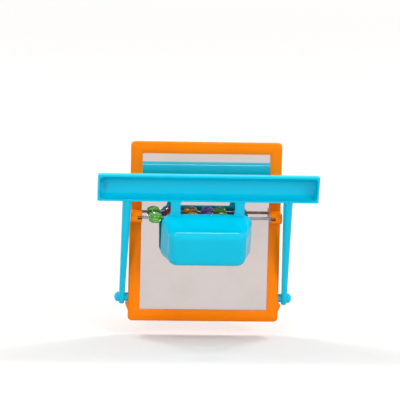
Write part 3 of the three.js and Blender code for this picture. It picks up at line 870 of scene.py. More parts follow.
@dataclass
class MirrorBody:
    """The orange frame with its bosses and ramps, the mirror, the back cover and the bead wire."""

    window_width: float = 60.0
    window_height: float = 74.5
    rail: float = 5.5
    depth: float = 8.0
    wall: float = 2.3
    lip: float = 1.5
    crown: float = 0.35
    outer_round: float = 1.3
    outer_draft: float = 1.3
    inner_round: float = 0.25
    corner_radius: float = 2.0
    window_corner: float = 0.3
    wire_height: float = WIRE_HEIGHT
    wire_y: float = WIRE_Y
    wire_diameter: float = 1.4
    boss_inner: float = 30.1
    boss_outer: float = 35.3
    boss_radius: float = 2.5
    boss_round: float = 0.35
    seat_clearance: float = 0.1
    seat_depth: float = 3.2
    slot_depth: float = 2.2
    pivot_y: float = PIVOT_Y
    pivot_z: float = PIVOT_Z
    pivot_hole: float = 4.6
    ramp_height: float = 1.2
    ramp_length: float = 4.2
    ramp_width: float = 5.0

    # The crown's place, the rear edge, the ramp's root, section and ends, and how far cuts overshoot.
    crown_place: float = 0.4
    rear_bend: tuple[tuple[float, float], ...] = ((0.14, -1.0), (0.04, -0.25), (-0.2, 0.0))
    pocket_ease: float = 0.2
    ramp_root: float = 0.3
    ramp_foot: float = 0.4
    ramp_shoulder: float = 0.6
    ramp_ease: float = 0.4
    ramp_ends: tuple[tuple[float, float], ...] = ((0.0, 0.3), (0.08, 0.1), (0.3, 0.0))
    wire_ease: float = 0.25
    cut_inside: float = 1.0
    cut_outside: float = 0.7
    sharp_angle: float = 32.0

    def rail_profile(self) -> Array:
        """The frame's section, as distance out from the window and depth.

        The front is a shallow parabola, highest two fifths of the way out. An arc turns it into
        the side wall, which leans in towards the back by the draft; then come pocket and lip.

        Returns:
            Rows of offset and Y, a closed loop.
        """
        share = np.linspace(0.0, 1.0, num=15)
        crest = -self.depth + self.crown * (2 * share - 2 * self.crown_place) ** 2
        offset = self.inner_round + share * (self.rail - self.outer_round - self.inner_round)
        crown = np.stack([offset, crest], axis=-1)
        nose = arc_points((self.inner_round, crest[0] + self.inner_round), self.inner_round,
                          start=180, end=270, steps=4)
        lean = math.degrees(math.atan2(self.outer_draft, self.depth))
        outer = arc_points((self.rail - self.outer_round, crest[-1] + self.outer_round),
                           self.outer_round, start=270, end=360 + lean, steps=8)
        pocket, lip_rear = self.rail - self.wall, -self.depth + self.lip
        rear = self.rail - self.outer_draft
        back = [(rear + out, y) for out, y in self.rear_bend]
        back += [(pocket + self.pocket_ease, 0.0), (pocket, -self.pocket_ease), (pocket, lip_rear),
                 (0.0, lip_rear)]
        return np.concatenate([nose[:-1], crown[:-1], outer, np.array(back)])

    def rails(self) -> Surface:
        """The four rails: the section carried round the window, its corners mitred and rounded.

        At each offset from the window the ring is a rounded rectangle whose corner radius grows
        evenly from the window's corner to the frame's.

        Returns:
            The closed surface.
        """
        profile = self.rail_profile()
        offset = profile[:, 0]
        radius = self.window_corner + (self.corner_radius - self.window_corner) * offset / self.rail
        rings = rounded_ring(self.window_width / 2 + offset, self.window_height / 2 + offset, radius,
                             corner=8, side=6)
        return skin(grid_of(rings[..., 0], profile[:, 1][:, None], rings[..., 1]), along=True)

    def boss(self) -> Surface:
        """The right boss: its side outline is a tab with a half-round nose, carried across X.

        At both ends the outline shrinks along a quarter circle, which rounds the edges.

        Returns:
            The closed surface.
        """
        foot = -self.depth + self.lip / 2
        angle = np.radians(np.linspace(-90, 90, num=25))
        quarter = np.linspace(0, math.pi / 2, num=5)
        inset = self.boss_round * (1 - np.sin(quarter))
        step = self.boss_round * (1 - np.cos(quarter))
        x = np.concatenate([self.boss_inner + step, (self.boss_outer - step)[::-1]])[:, None]
        radius = self.boss_radius - np.concatenate([inset, inset[::-1]])[:, None]
        nose_y = self.wire_y - radius * np.cos(angle)[None, :]
        nose_z = self.wire_height + radius * np.sin(angle)[None, :]
        ends_y = np.full_like(x, foot)
        y = np.concatenate([ends_y, nose_y, ends_y], axis=1)
        z = np.concatenate([nose_z[:, :1], nose_z, nose_z[:, -1:]], axis=1)
        return skin(grid_of(x, y, z))

    def ramp(self) -> Surface:
        """The snap ramp on the right side: a wedge that is steep above its crest and long below.

        Its outline, in X and Z, is carried across Y, and shrinks a little at both ends.

        Returns:
            The closed surface.
        """
        side = self.window_width / 2 + self.rail
        root, foot = side - self.outer_draft - self.ramp_root, side - self.ramp_foot
        crest = self.pivot_z - self.pivot_hole / 2 - self.ramp_height / 2
        top, bottom = crest + self.ramp_height * self.ramp_shoulder, crest - self.ramp_length
        outline = softened([
            (root, top), (foot, top), (side + self.ramp_height, crest),
            (side + self.ramp_height, crest - self.ramp_height / 3), (foot, bottom), (root, bottom),
        ], self.ramp_ease)
        half = self.ramp_width / 2
        step, shrink = np.array(self.ramp_ends).T
        y = self.pivot_y + np.concatenate([-half + step, (half - step)[::-1]])[:, None]
        shrink = np.concatenate([shrink, shrink[::-1]])[:, None]
        reach = np.clip(outline[:, 0] - side, 0.0, None)[None, :]
        x = outline[:, 0][None, :] - shrink * reach / self.ramp_height
        return skin(grid_of(x, y, outline[:, 1]))

    def cutters(self, side: int) -> list[bpy.types.Object]:
        """The bodies that are cut out of the frame on one side.

        They are the pivot hole, the blind hole for the wire and the slot that opens it to the
        front: two rods and a box.

        Args:
            side: 1 for the right, -1 for the left.

        Returns:
            The objects to cut with.
        """
        outer = self.window_width / 2 + self.rail
        hole = rod(self.pivot_hole / 2, outer - self.wall - self.cut_inside, outer + self.cut_outside,
                   steps=48)
        radius = self.wire_diameter / 2 + self.seat_clearance
        start = self.boss_inner - self.cut_inside
        seat = rod(radius, start, self.boss_inner + self.seat_depth + self.seat_clearance, steps=32)
        low = np.array([start, self.wire_y - self.boss_radius - self.cut_inside, self.wire_height - radius])
        high = np.array([self.boss_inner + self.slot_depth, self.wire_y, self.wire_height + radius])
        ring = np.array([[0, 0], [1, 0], [1, 1], [0, 1]], float)
        corners = np.stack([np.column_stack([np.full(4, level), ring]) for level in (0.0, 1.0)])
        shapes = {
            "pivot_hole": hole.moved(y=self.pivot_y, z=self.pivot_z),
            "wire_seat": seat.moved(y=self.wire_y, z=self.wire_height),
            "wire_slot": skin(low + corners * (high - low)),
        }
        return [make_object(f"{name}_{side}", shape if side > 0 else shape.across())
                for name, shape in shapes.items()]

    def wire(self) -> Surface:
        """The bead wire: a turned rod with a small round at both ends."""
        end = self.boss_inner + self.seat_depth
        wire = rod(self.wire_diameter / 2, -end, end, steps=32, ease=self.wire_ease)
        return wire.moved(y=self.wire_y, z=self.wire_height)

    def build(self, finishes: Finishes) -> None:
        """Builds and dresses every piece of the sub-assembly.

        Args:
            finishes: the toy's materials.
        """
        boss, ramp = self.boss(), self.ramp()
        rails = make_object("orange_frame", self.rails())
        details = [boss, boss.across(), ramp, ramp.across()]
        combined(rails, [make_object(f"frame_detail_{number}", detail)
                         for number, detail in enumerate(details)], Join.ADD)
        combined(rails, self.cutters(1) + self.cutters(-1), Join.CUT)
        mark_sharp_edges(rails.data, self.sharp_angle)
        place(rails, Body.MIRROR, finishes.orange, "mirror_frame")
        wire = make_object("steel_bead_wire", self.wire())
        place(wire, Body.MIRROR, finishes.wire, "bead_wire")
        refinish("mirror_plate", finishes.glass)
        refinish("back_cover", finishes.orange)


@dataclass(frozen=True)
class BeadPlace:
    """Where one bead hangs and what it is made of."""

    node: str
    body: Body
    centre: float
    slot: Slot
    turn: float


@dataclass
class BeadRow:
    """The cut beads on their wire."""

    wire_y: float = WIRE_Y
    wire_height: float = WIRE_HEIGHT
    diameter: float = 5.9
    length: float = 5.8
    end_diameter: float = 3.7
    shoulder_place: float = 0.52
    shoulder_size: float = 0.93
    bore: float = 2.0
    sides: int = 8
    edge_width: float = 0.25
    edge_steps: int = 3
    edge_angle: float = 8.0
    sharp_angle: float = 5.0

    # Node, body, place along the wire, slot and turn.
    places: tuple[BeadPlace, ...] = (
        BeadPlace("bead_green_left", Body.GREEN_LEFT, -24.0, Slot.GREEN, 10.0),
        BeadPlace("bead_red", Body.RED, -15.7, Slot.RED, 25.0),
        BeadPlace("bead_amber", Body.AMBER, -6.6, Slot.AMBER, 3.0),
        BeadPlace("bead_violet", Body.VIOLET, 1.3, Slot.VIOLET, 33.0),
        BeadPlace("bead_green_right", Body.GREEN_RIGHT, 7.3, Slot.GREEN, 17.0),
    )

    def bead(self, turn: float) -> Surface:
        """A cut bead with a hole through it.

        The outside is a chain of regular polygons, each turned half a side on from the last, so
        that flat triangles join them; the inside is a round bore, and both meet at the end faces.

        Args:
            turn: how far the bead is turned on its wire, in degrees.

        Returns:
            The closed surface.
        """
        radius, half = self.diameter / 2, self.length / 2
        end, shoulder, knee = self.end_diameter / 2, radius * self.shoulder_size, half * self.shoulder_place
        level = np.array([-half, -knee, 0.0, knee, half])[:, None]
        size = np.array([end, shoulder, radius, shoulder, end])[:, None]
        half_sides = np.arange(self.sides)[None, :] + np.arange(len(level))[:, None] / 2
        angle = half_sides * 2 * math.pi / self.sides + math.radians(turn)
        bore_angle, bore = angle[[-1, 0]], self.bore / 2
        quads = skin(np.concatenate([
            grid_of(level, size * np.cos(angle), size * np.sin(angle)),
            grid_of(np.array([[half], [-half]]), bore * np.cos(bore_angle), bore * np.sin(bore_angle)),
        ]), along=True)
        corners = quads.faces[0]
        triangles = np.concatenate([corners[:, [0, 1, 2]], corners[:, [0, 2, 3]]])
        return Surface(quads.points, [triangles])

    def build(self, finishes: Finishes) -> None:
        """Builds and dresses the beads.

        Args:
            finishes: the toy's materials.
        """
        for spot in self.places:
            shape = self.bead(spot.turn).moved(spot.centre, self.wire_y, self.wire_height)
            piece = make_object(f"cut_{spot.node}", shape, self.sharp_angle)
            edge = piece.modifiers.new("cut_edges", "BEVEL")
            edge.width = self.edge_width * MM
            edge.segments = self.edge_steps
            edge.limit_method = "ANGLE"
            edge.angle_limit = math.radians(self.edge_angle)
            place(piece, spot.body, finishes.beads[spot.slot], spot.node)


@dataclass
class PerchYoke:
    """The blue moulding: perch bar, arms, straps and feed cup, in the yoke's own plane.

    In that plane Z runs from the pivots to the bar, -Y is the side that the trough opens to, and
    the origin lies on the pivot axis. The whole is tilted and moved to its folded place at the end.
    """

    fold: float = 21.4
    pivot_y: float = PIVOT_Y
    pivot_z: float = PIVOT_Z
    pivot_diameter: float = 4.0
    pin_tip: float = 33.6
    hub_diameter: float = 6.8
    hub_inner: float = 37.15
    arm_outer: float = 39.7
    thick_at_hub: float = 2.55
    thick_at_bar: float = 4.3
    flare: float = 1.8
    knob_diameter: float = 4.6
    knob_height: float = 2.2
    perch_reach: float = 59.03
    perch_length: float = 103.0
    perch_diameter: float = 14.0
    perch_wall: float = 1.1
    perch_rim: float = -0.3
    end_round: float = 0.8
    inner_round: float = 2.0
    rim_round: float = 0.35
    cup_width: float = 42.4
    cup_length: float = 24.6
    cup_depth: float = 13.5
    cup_draft: float = 4.1
    cup_wall: float = 1.2
    cup_top: float = 45.084
    cup_rim: float = -1.514
    cup_rim_radius: float = 5.0
    cup_base_radius: float = 3.6
    cup_base_round: float = 3.6
    strap_spacing: float = 14.9
    strap_width: float = 4.5
    strap_thickness: float = 1.5

    # The bar's ends as shares of its length, then the smaller measures of hub, arm, pin and knob.
    end_flat: float = 0.08
    end_turn: float = 0.16
    hub_start: float = 0.12
    hub_least: float = 0.2
    hub_reach: float = 3.0
    hub_power: float = 0.8
    arm_depth: float = 2.7
    arm_set_back: float = 0.2
    arm_rear_share: float = 0.82
    arm_sink: float = 1.2
    arm_roundness: float = 2.08
    flare_outside: float = 0.6
    pin_ease: float = 0.4
    pin_seat: float = 0.6
    dome_start: float = 0.1
    dome_skirt: float = 0.3

    # The inner corners of the cup, the rings across its base, and how the straps run into their ends.
    cup_corner_thinning: float = 0.6
    base_rings: tuple[float, float] = (0.25, 0.6)
    base_straight: float = 0.05
    strap_into_cup: float = 0.6
    strap_into_bar: float = 0.9
    strap_widening: float = 0.5
    strap_widening_reach: float = 0.5
    strap_widest: float = 0.45
    strap_corner: float = 0.4
    sharp_angle: float = 40.0

    def settled(self, surface: Surface) -> Surface:
        """Tilts a surface of the yoke's plane by the fold and moves it to the pivots."""
        return surface.tilted(self.fold).moved(y=self.pivot_y, z=self.pivot_z)

    def trough_shell(self, radius: float, half_length: float, rounding: float, along: Array,
                     angle: Array) -> Array:
        """Half of a round-ended bar: half circles whose radius falls to nothing at both ends.

        Along the first stretch the radius grows across the flat end, then a quarter circle of the
        rounding turns it into the side, and the middle keeps the full radius.

        Args:
            radius: the bar's radius.
            half_length: half its length.
            rounding: the radius of the edge between end and side.
            along: shares from 0 at one end's middle to 1 at the other's.
            angle: angles round the half circle.

        Returns:
            Points as stations, angles, xyz.
        """
        flat, turn, half = self.end_flat, self.end_turn, 0.5
        near = np.minimum(along, 1 - along)
        on_flat = np.clip(near / flat, 0, 1)
        on_turn = np.clip((near - flat) / (turn - flat), 0, 1) * math.pi / 2
        on_side = np.clip((near - turn) / (half - turn), 0, 1)
        r = np.where(near <= flat, on_flat * (radius - rounding),
                     radius - rounding + rounding * np.sin(on_turn))[:, None]
        x = -half_length + rounding * (1 - np.cos(on_turn)) + on_side * (half_length - rounding)
        x = np.where(along > half, -x, x)[:, None]
        y = -self.perch_rim + self.rim_round + np.sin(angle) * np.maximum(r - self.rim_round, 0)
        return grid_of(x, y, self.perch_reach + np.cos(angle) * r)

    def rim_arch(self) -> tuple[Array, Array]:
        """The rounded rim that the bar and the cup share.

        Its height over the straight line between both faces of the wall is the rounding times the
        fourth root of one minus the fourth power of the place across the wall, from -1 to 1.

        Returns:
            Places across the wall as shares from 0 to 1, and the height at each.
        """
        across = np.linspace(-1, 1, num=9)[1:-1]
        power = 4
        return (across + 1) / 2, self.rim_round * (1 - np.abs(across) ** power) ** (1 / power)

    def perch_bar(self) -> Surface:
        """The perch bar: an outer and an inner trough joined by a rounded rim.

        Returns:
            The closed surface.
        """
        flat, turn = self.end_flat, self.end_turn
        ends = np.concatenate([np.linspace(0, flat, num=9)[:-1], np.linspace(flat, turn, num=9)])
        along = np.concatenate([ends, np.linspace(turn, 1 - turn, num=41)[1:-1], 1 - ends[::-1]])
        angle = np.linspace(0, math.pi, num=25)
        radius, half = self.perch_diameter / 2, self.perch_length / 2
        outer = self.trough_shell(radius, half, self.end_round, along, angle)
        inner = self.trough_shell(radius - self.perch_wall, half - self.perch_wall, self.inner_round, along,
                                  angle[::-1])
        place_across, lift = self.rim_arch()
        share = place_across[None, :, None]
        far_rim = outer[:, -1:] * (1 - share) + inner[:, :1] * share
        near_rim = inner[:, -1:] * (1 - share) + outer[:, :1] * share
        for rim in (far_rim, near_rim):
            rim[..., 1] -= lift
        return self.settled(skin(np.concatenate([outer, far_rim, inner, near_rim], axis=1), caps=False))

    def arm(self) -> Surface:
        """The right arm with its hub, pin and knob.

        Along the arm, the section is a rounded rectangle whose thickness and depth change evenly
        from hub to bar; below the pivot its depth follows the hub's circle, and at the bar a
        quarter circle flares it out. The pin and the domed knob are turned about the pivot axis.

        Returns:
            The closed surfaces together.
        """
        hub = self.hub_diameter / 2
        bar_edge = self.perch_reach - self.perch_diameter / 2
        flare_start = bar_edge - self.flare
        low = -hub * np.cos(np.linspace(self.hub_start, math.pi / 2, num=10))
        middle = np.linspace(0, flare_start, num=30)[1:]
        flare_angle = np.linspace(0, math.pi / 2, num=9)[1:]
        z = np.concatenate([low, middle, flare_start + self.flare * np.sin(flare_angle),
                            [bar_edge + self.arm_sink]])
        share = np.clip(z / flare_start, 0, 1)
        blend = np.clip(z / (hub * self.hub_reach), 0, 1) ** self.hub_power
        flare = np.zeros_like(z)
        flare[-1 - len(flare_angle):-1] = self.flare * (1 - np.cos(flare_angle))
        flare[-1] = flare[-2]
        thick = self.thick_at_hub + (self.thick_at_bar - self.thick_at_hub) * share
        arm_front = -self.arm_depth * (1 - share) - self.perch_rim * share + self.arm_set_back
        arm_rear = self.arm_depth + (self.perch_diameter / 2 * self.arm_rear_share - self.arm_depth) * share
        circle = np.sqrt(np.clip(hub ** 2 - np.minimum(z, 0) ** 2, self.hub_least, None))
        front = np.where(z < 0, -circle, -hub * (1 - blend) + arm_front * blend)
        rear = np.where(z < 0, circle, hub * (1 - blend) + arm_rear * blend)
        outer = self.arm_outer + flare * self.flare_outside
        inner = self.arm_outer - thick - flare
        radius = np.minimum(outer - inner, rear - front) / self.arm_roundness
        rings = rounded_ring((outer - inner) / 2, (rear - front) / 2, radius, corner=6, side=3)
        lever = skin(grid_of(rings[..., 0] + ((outer + inner) / 2)[:, None],
                             rings[..., 1] + ((front + rear) / 2)[:, None], z[:, None]))
        pin = rod(self.pivot_diameter / 2, self.pin_tip, self.hub_inner + self.pin_seat, steps=40,
                  ease=self.pin_ease)
        knob, seat, skirt = self.knob_diameter / 2, self.arm_outer - self.pin_seat, self.dome_skirt
        dome = np.linspace(self.dome_start, math.pi / 2, num=12)
        dome_level = self.arm_outer + self.knob_height * (skirt + (1 - skirt) * np.sin(dome))
        profile = np.concatenate([
            [[0, seat], [knob, seat], [knob, self.arm_outer + self.knob_height * skirt]],
            np.stack([knob * np.cos(dome), dome_level], axis=-1),
        ])
        return self.settled(joined([lever, pin, turned(profile, steps=48)]))

    def cup_profile(self, wall: float) -> tuple[Array, Array, Array]:
        """One face of the cup's wall, from the middle of its base to the rim.

        The inset from the rim's outline grows evenly with depth by the draft; near the base a
        quarter circle turns the wall into the flat base.

        Args:
            wall: how far inside the outer face it lies.

        Returns:
            Inset, depth and corner radius for each ring.
        """
        bottom = self.cup_depth - wall
        round_ = self.cup_base_round - wall / 2
        slope = self.cup_draft / self.cup_depth
        turn = np.linspace(0, math.pi / 2, num=9)
        knee = bottom - round_
        wall_depth = np.linspace(self.rim_round, knee, num=12)[:-1]
        depth = np.concatenate([wall_depth, knee + round_ * np.sin(turn)])
        inset = np.concatenate([slope * wall_depth, slope * knee + round_ * (1 - np.cos(turn))]) + wall
        share = depth / self.cup_depth
        radius = self.cup_rim_radius + (self.cup_base_radius - self.cup_rim_radius) * share
        radius = radius - wall * self.cup_corner_thinning
        return inset, depth, radius

    def feed_cup(self) -> Surface:
        """The feed cup: rounded rectangles stacked up the outside, over the rim and down inside.

        The rim is arched as the perch bar's is.

        Returns:
            The closed surface.
        """
        out_inset, out_depth, out_radius = self.cup_profile(0.0)
        in_inset, in_depth, in_radius = self.cup_profile(self.cup_wall)
        share, lift = self.rim_arch()
        rim_inset = out_inset[0] * (1 - share) + in_inset[0] * share
        rim_radius = out_radius[0] * (1 - share) + in_radius[0] * share
        shrink = np.array(self.base_rings)
        half_width, half_length = self.cup_width / 2, self.cup_length / 2
        base_outer = (1 - shrink) * (half_length - out_inset[-1])
        base_inner = (1 - shrink) * (half_length - in_inset[-1])
        inset = np.concatenate([
            half_length - base_outer[::-1], out_inset[::-1], rim_inset, in_inset, half_length - base_inner])
        depth = np.concatenate([
            np.full(2, out_depth[-1]), out_depth[::-1], self.rim_round - lift, in_depth,
            np.full(2, in_depth[-1])])
        radius = np.concatenate([
            out_radius[-1] * (1 - shrink[::-1]), out_radius[::-1], rim_radius, in_radius,
            in_radius[-1] * (1 - shrink)])
        radius = np.minimum(radius, half_length - inset - self.base_straight)
        rings = rounded_ring(half_width - inset, half_length - inset, radius, corner=12, side=8)
        middle = self.cup_top - half_length
        return self.settled(skin(grid_of(rings[..., 0], -self.cup_rim - depth[:, None],
                                         rings[..., 1] + middle)))

    def strap(self) -> Surface:
        """The right strap: a rounded strip that steps out from the bar's rim to the cup's rim.

        Its middle line follows a smooth step, 3 t squared minus 2 t cubed, between both planes, and
        it widens near bar and cup by a value that falls off as the exponential of the distance.

        Returns:
            The closed surface.
        """
        bar_edge = self.perch_reach - self.perch_diameter / 2
        z = np.linspace(self.cup_top - self.strap_into_cup, bar_edge + self.strap_into_bar, num=24)
        t = np.clip((z - self.cup_top) / (bar_edge - self.cup_top), 0, 1)
        step = t * t * (3 - 2 * t)
        at_cup = -self.cup_rim - self.strap_thickness / 2
        at_bar = -self.perch_rim + self.strap_thickness / 2
        middle = at_cup * (1 - step) + at_bar * step
        reach = self.strap_widening_reach
        widen = self.strap_widening * (np.exp(-(z - self.cup_top) / reach) + np.exp(-(bar_edge - z) / reach))
        half_width = self.strap_width / 2 + np.clip(widen, 0, self.strap_widest)
        ones = np.ones_like(z)
        rings = rounded_ring(half_width, self.strap_thickness / 2 * ones, self.strap_corner * ones,
                             corner=4, side=2)
        return self.settled(skin(grid_of(rings[..., 0] + self.strap_spacing, rings[..., 1] + middle[:, None],
                                         z[:, None])))

    def build(self, finishes: Finishes) -> None:
        """Builds and dresses the yoke's pieces.

        Args:
            finishes: the toy's materials.
        """
        right_arm, right_strap = self.arm(), self.strap()
        shapes = {
            ("blue_perch_bar", "perch_bar"): self.perch_bar(),
            ("blue_right_arm", "right_arm"): right_arm,
            ("blue_left_arm", "left_arm"): right_arm.across(),
            ("blue_feed_cup", "feed_cup"): self.feed_cup(),
            ("blue_right_strap", "right_strap"): right_strap,
            ("blue_left_strap", "left_strap"): right_strap.across(),
        }
        for (name, node), shape in shapes.items():
            place(make_object(name, shape, self.sharp_angle), Body.YOKE, finishes.blue, node)


@dataclass
class CageClamp:
    """The bolt, washer and wing nut that hold the toy on the cage."""

    height: float = 16.0
    washer_front: float = 3.0
    washer_thickness: float = 2.0
    washer_diameter: float = 24.0
    bore: float = 6.6
    bolt_diameter: float = 6.0
    bolt_length: float = 13.0
    head_diameter: float = 12.0
    head_thickness: float = 1.6
    cover_thickness: float = 1.8
    pitch: float = 1.0
    thread_depth: float = 0.35

    # Where thread and tip start and end, the head's edge, and the washer's rings and dish.
    thread_start: float = 1.2
    thread_fade: float = 1.0
    thread_flatness: float = 1.6
    shank_start: float = 1.0
    tip_length: float = 0.8
    tip_taper: float = 0.9
    tip_margin: float = 0.05
    head_gap: float = 0.3
    head_ease: float = 0.5
    rim_width: float = 1.8
    hub_width: float = 2.9
    ring_slope: float = 0.5
    dish_depth: float = 0.5
    washer_ease: float = 0.4
    seam_gap: float = 0.01
    sharp_angle: float = 50.0

    def about_bolt(self, radius: Array, level: Array, turn: Array) -> Array:
        """Points at a radius and a level along the bolt: radius times sine and cosine of the turn."""
        return grid_of(radius * np.sin(turn), level, radius * np.cos(turn))

    def bolt(self) -> Surface:
        """The bolt: a flat head, and a shank whose radius dips along a helix.

        Along the threaded stretch the radius is the full radius minus the thread's depth times
        half of one minus a flattened cosine of two pi times height over pitch, minus the turn.

        Returns:
            The closed surface.
        """
        head_rear = -self.cover_thickness - self.head_gap
        head_front = head_rear - self.head_thickness
        radius = self.bolt_diameter / 2
        head = softened([(0, head_front), (self.head_diameter / 2, head_front),
                         (self.head_diameter / 2, head_rear), (radius, head_rear)], self.head_ease)
        turn = full_turn(steps=48)
        y = np.linspace(self.thread_start, self.bolt_length - self.tip_margin, num=190)[:, None]
        wave = np.clip(self.thread_flatness * np.cos(2 * math.pi * y / self.pitch - turn), -1, 1)
        ease = np.clip((y - self.thread_start) / self.thread_fade, 0, 1)
        thread = radius - self.thread_depth * ease * (1 - wave) / 2
        thread = thread - np.clip(y - (self.bolt_length - self.tip_length), 0, None) * self.tip_taper
        head_r = np.append(head[1:, 0], radius)[:, None] * np.ones_like(turn)
        level = np.concatenate([np.append(head[1:, 1], self.shank_start)[:, None], y])
        return skin(self.about_bolt(np.concatenate([head_r, thread]), level, turn)).moved(z=self.height)

    def washer(self) -> Surface:
        """The washer: a dished disc with a raised rim and hub ring, turned about its bore.

        Returns:
            The closed surface.
        """
        front, rear = self.washer_front, self.washer_front + self.washer_thickness
        bore, outer = self.bore / 2, self.washer_diameter / 2
        middle, dish = (front + rear) / 2, rear - self.dish_depth
        rim, hub = outer - self.rim_width, bore + self.hub_width
        loop = softened([
            (bore, middle), (bore, front), (outer, front), (outer, rear), (rim, rear),
            (rim - self.ring_slope, dish), (hub + self.ring_slope, dish), (hub, rear), (bore, rear),
            (bore, middle + self.seam_gap),
        ], self.washer_ease)
        grid = self.about_bolt(loop[:, 0][:, None], loop[:, 1][:, None], full_turn(steps=96))
        return skin(grid, along=True).moved(z=self.height)

    def build(self, finishes: Finishes) -> None:
        """Builds and dresses the clamp.

        Args:
            finishes: the toy's materials.
        """
        place(make_object("threaded_bolt", self.bolt(), self.sharp_angle), Body.MIRROR,
              finishes.bolt, "clamp_bolt")
        place(make_object("dished_washer", self.washer()), Body.WASHER, finishes.blue,
              "clamp_washer")
        refinish("wing_nut", finishes.blue)


# Floor, light and camera.


def bearing(azimuth: float, elevation: float) -> Vector:
    """The direction from the toy to a point that is seen at two angles.

    Args:
        azimuth: degrees round the toy, 0 in front of it and growing to the right.
        elevation: degrees above level.

    Returns:
        Sine and minus cosine of the azimuth, each times the elevation's cosine, and its sine.
    """
    around, above = math.radians(azimuth), math.radians(elevation)
    return Vector((math.sin(around) * math.cos(above), -math.cos(around) * math.cos(above), math.sin(above)))


def sight(graph: Graph) -> tuple[Socket, Socket]:
    """Whether a ray comes straight from the camera, and whether it comes by a mirror or a bead."""
    path = graph.add("ShaderNodeLightPath").outputs
    return path["Is Camera Ray"], graph.math("MAXIMUM", path["Is Glossy Ray"], path["Is Transmission Ray"])


@dataclass(frozen=True)
class SoftLamp:
    """A lit rectangle that faces the toy. Bearings are degrees, lengths metres, the power watts."""

    name: str
    azimuth: float
    elevation: float
    width: float
    height: float
    power: float
    distance: float = 1.35

    def build(self) -> None:
        """Adds the lamp to the scene."""
        towards = bearing(self.azimuth, self.elevation)
        data = bpy.data.lights.new(self.name, "AREA")
        data.shape = "RECTANGLE"
        data.size, data.size_y = self.width, self.height
        data.energy = self.power
        lamp = bpy.data.objects.new(self.name, data)
        lamp.location = towards * self.distance
        lamp.rotation_euler = (-towards).to_track_quat("-Z", "Y").to_euler()
        bpy.context.scene.collection.objects.link(lamp)


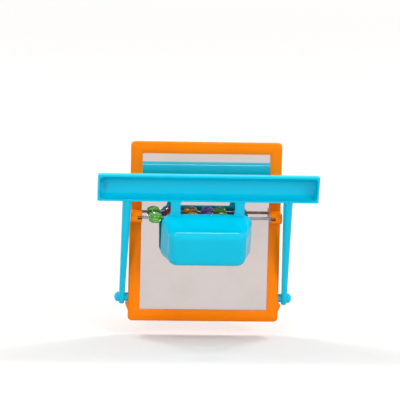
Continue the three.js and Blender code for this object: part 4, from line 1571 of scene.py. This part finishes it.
@dataclass
class Studio:
    """The plain pale floor, the soft lamps and the camera of the photograph.

    The floor's height, the camera's aim, its distance and its sensor are millimetres. The floor's
    size, the glow's reach and the camera's nearest and farthest clip are metres.
    """

    floor_height: float = -50.0
    floor_size: float = 12.0
    floor_pale: Colour = srgb(198, 197, 196)
    floor_dim: Colour = srgb(194, 193, 192)
    floor_clouds: Grain = Grain(1.5)
    floor_roughness: float = 0.8
    glow: Colour = srgb(255, 255, 254)
    glow_near: float = 0.13
    glow_far: float = 0.62
    glow_reach: tuple[float, float] = (0.35, 1.9)
    glow_mirrored: float = 0.4
    azimuth: float = -4.2
    elevation: float = 9.45
    roll: float = 1.41
    distance: float = 1500.0
    pixels_per_mm: float = 2.1345
    image_pixels: float = 400.0
    sensor: float = 36.0
    nearest: float = 0.05
    farthest: float = 50.0
    aim: tuple[float, float, float] = (-2.765, -8.0, 15.467)
    world_light: float = 0.52

    # Name, azimuth, elevation, width, height, power, and the distance where it isn't the usual one.
    lamps: tuple[SoftLamp, ...] = (
        SoftLamp("overhead_softbox", 0.0, 70.0, 0.5, 0.2, 4.2),
        SoftLamp("left_window", -30.0, 20.0, 0.2, 0.36, 4.3),
        SoftLamp("front_window", 25.0, 21.0, 0.11, 0.42, 1.0),
        SoftLamp("right_window", 42.0, 26.0, 0.22, 0.4, 4.8),
        SoftLamp("rear_left_softbox", -122.0, 50.0, 0.5, 0.5, 6.6),
        SoftLamp("rear_right_softbox", 122.0, 50.0, 0.5, 0.5, 6.6),
        SoftLamp("rear_left_spot", -122.0, 50.0, 0.12, 0.12, 2.4, 1.3),
        SoftLamp("rear_right_spot", 122.0, 50.0, 0.12, 0.12, 2.4, 1.3),
    )

    def floor(self) -> None:
        """A flat pale sheet under the toy, with a faint cloud in its colour.

        Far from the lamps the sheet would turn grey, so to the camera and in mirrors it glows, and
        the glow grows with the distance from the toy.
        """
        half = self.floor_size / 2
        z = self.floor_height * MM
        mesh = bpy.data.meshes.new("studio_floor")
        mesh.from_pydata([(-half, -half, z), (half, -half, z), (half, half, z), (-half, half, z)], [],
                         [(0, 1, 2, 3)])
        sheet = bpy.data.objects.new("studio_floor", mesh)
        bpy.context.scene.collection.objects.link(sheet)
        material, graph, shader = new_material("pale_floor")
        where = graph.where()
        cloud = graph.noise(where, self.floor_clouds)
        straight, mirrored = sight(graph)
        shown = graph.math("MAXIMUM", straight, graph.math("MULTIPLY", mirrored, self.glow_mirrored))
        away = graph.add("ShaderNodeVectorMath", operation="LENGTH", Vector=where).outputs["Value"]
        glow = graph.ramp(away, *self.glow_reach, self.glow_near, self.glow_far)
        graph.fill(shader, Base_Color=graph.blend(cloud, self.floor_pale, self.floor_dim),
                   Emission_Strength=graph.math("MULTIPLY", glow, shown), Emission_Color=self.glow,
                   Roughness=self.floor_roughness)
        mesh.materials.append(material)

    def world(self) -> None:
        """A pale world: white to the camera, to mirrors and through beads, dimmer as a light."""
        world = bpy.data.worlds.new("studio_world")
        bpy.context.scene.world = world
        world.use_nodes = True
        world.node_tree.nodes.clear()
        graph = Graph(world.node_tree)
        strength = graph.ramp(graph.math("MAXIMUM", *sight(graph)), 0.0, 1.0, self.world_light, 1.0)
        background = graph.add("ShaderNodeBackground", Color=(1.0, 1.0, 1.0, 1.0), Strength=strength)
        graph.add("ShaderNodeOutputWorld", Surface=background.outputs[0])

    def camera(self) -> None:
        """The camera: it looks along the shot's azimuth and elevation, rolled by a small angle.

        Its lens is the focal length in pixels, which is the scale at the mirror times the
        distance, times the sensor's width over the picture's width.
        """
        back, roll = bearing(self.azimuth, self.elevation), math.radians(self.roll)
        right_level = (-back).cross(Vector((0, 0, 1))).normalized()
        up_level = right_level.cross(-back)
        right = math.cos(roll) * right_level + math.sin(roll) * up_level
        up = -math.sin(roll) * right_level + math.cos(roll) * up_level
        eye = (Vector(self.aim) + back * self.distance) * MM
        data = bpy.data.cameras.new("photo_camera")
        data.sensor_width = self.sensor
        data.lens = self.pixels_per_mm * self.distance * self.sensor / self.image_pixels
        data.clip_start, data.clip_end = self.nearest, self.farthest
        camera = bpy.data.objects.new("photo_camera", data)
        camera.matrix_world = Matrix([*zip(right, up, back, eye), (0, 0, 0, 1)])
        bpy.context.scene.collection.objects.link(camera)
        bpy.context.scene.camera = camera

    def build(self) -> None:
        """Sets up floor, world, lamps, camera and the view transform."""
        bpy.context.scene.view_settings.view_transform = "Standard"
        self.floor()
        self.world()
        for lamp in self.lamps:
            lamp.build()
        self.camera()


def main() -> None:
    """Builds the dressed toy and its studio."""
    logging.basicConfig(level=logging.INFO, format="%(name)s %(message)s")
    Studio().build()
    finishes = Finishes()
    for assembly in (MirrorBody(), BeadRow(), PerchYoke(), CageClamp()):
        LOG.info("building %s", type(assembly).__name__)
        assembly.build(finishes)


if __name__ == "__main__":
    main()
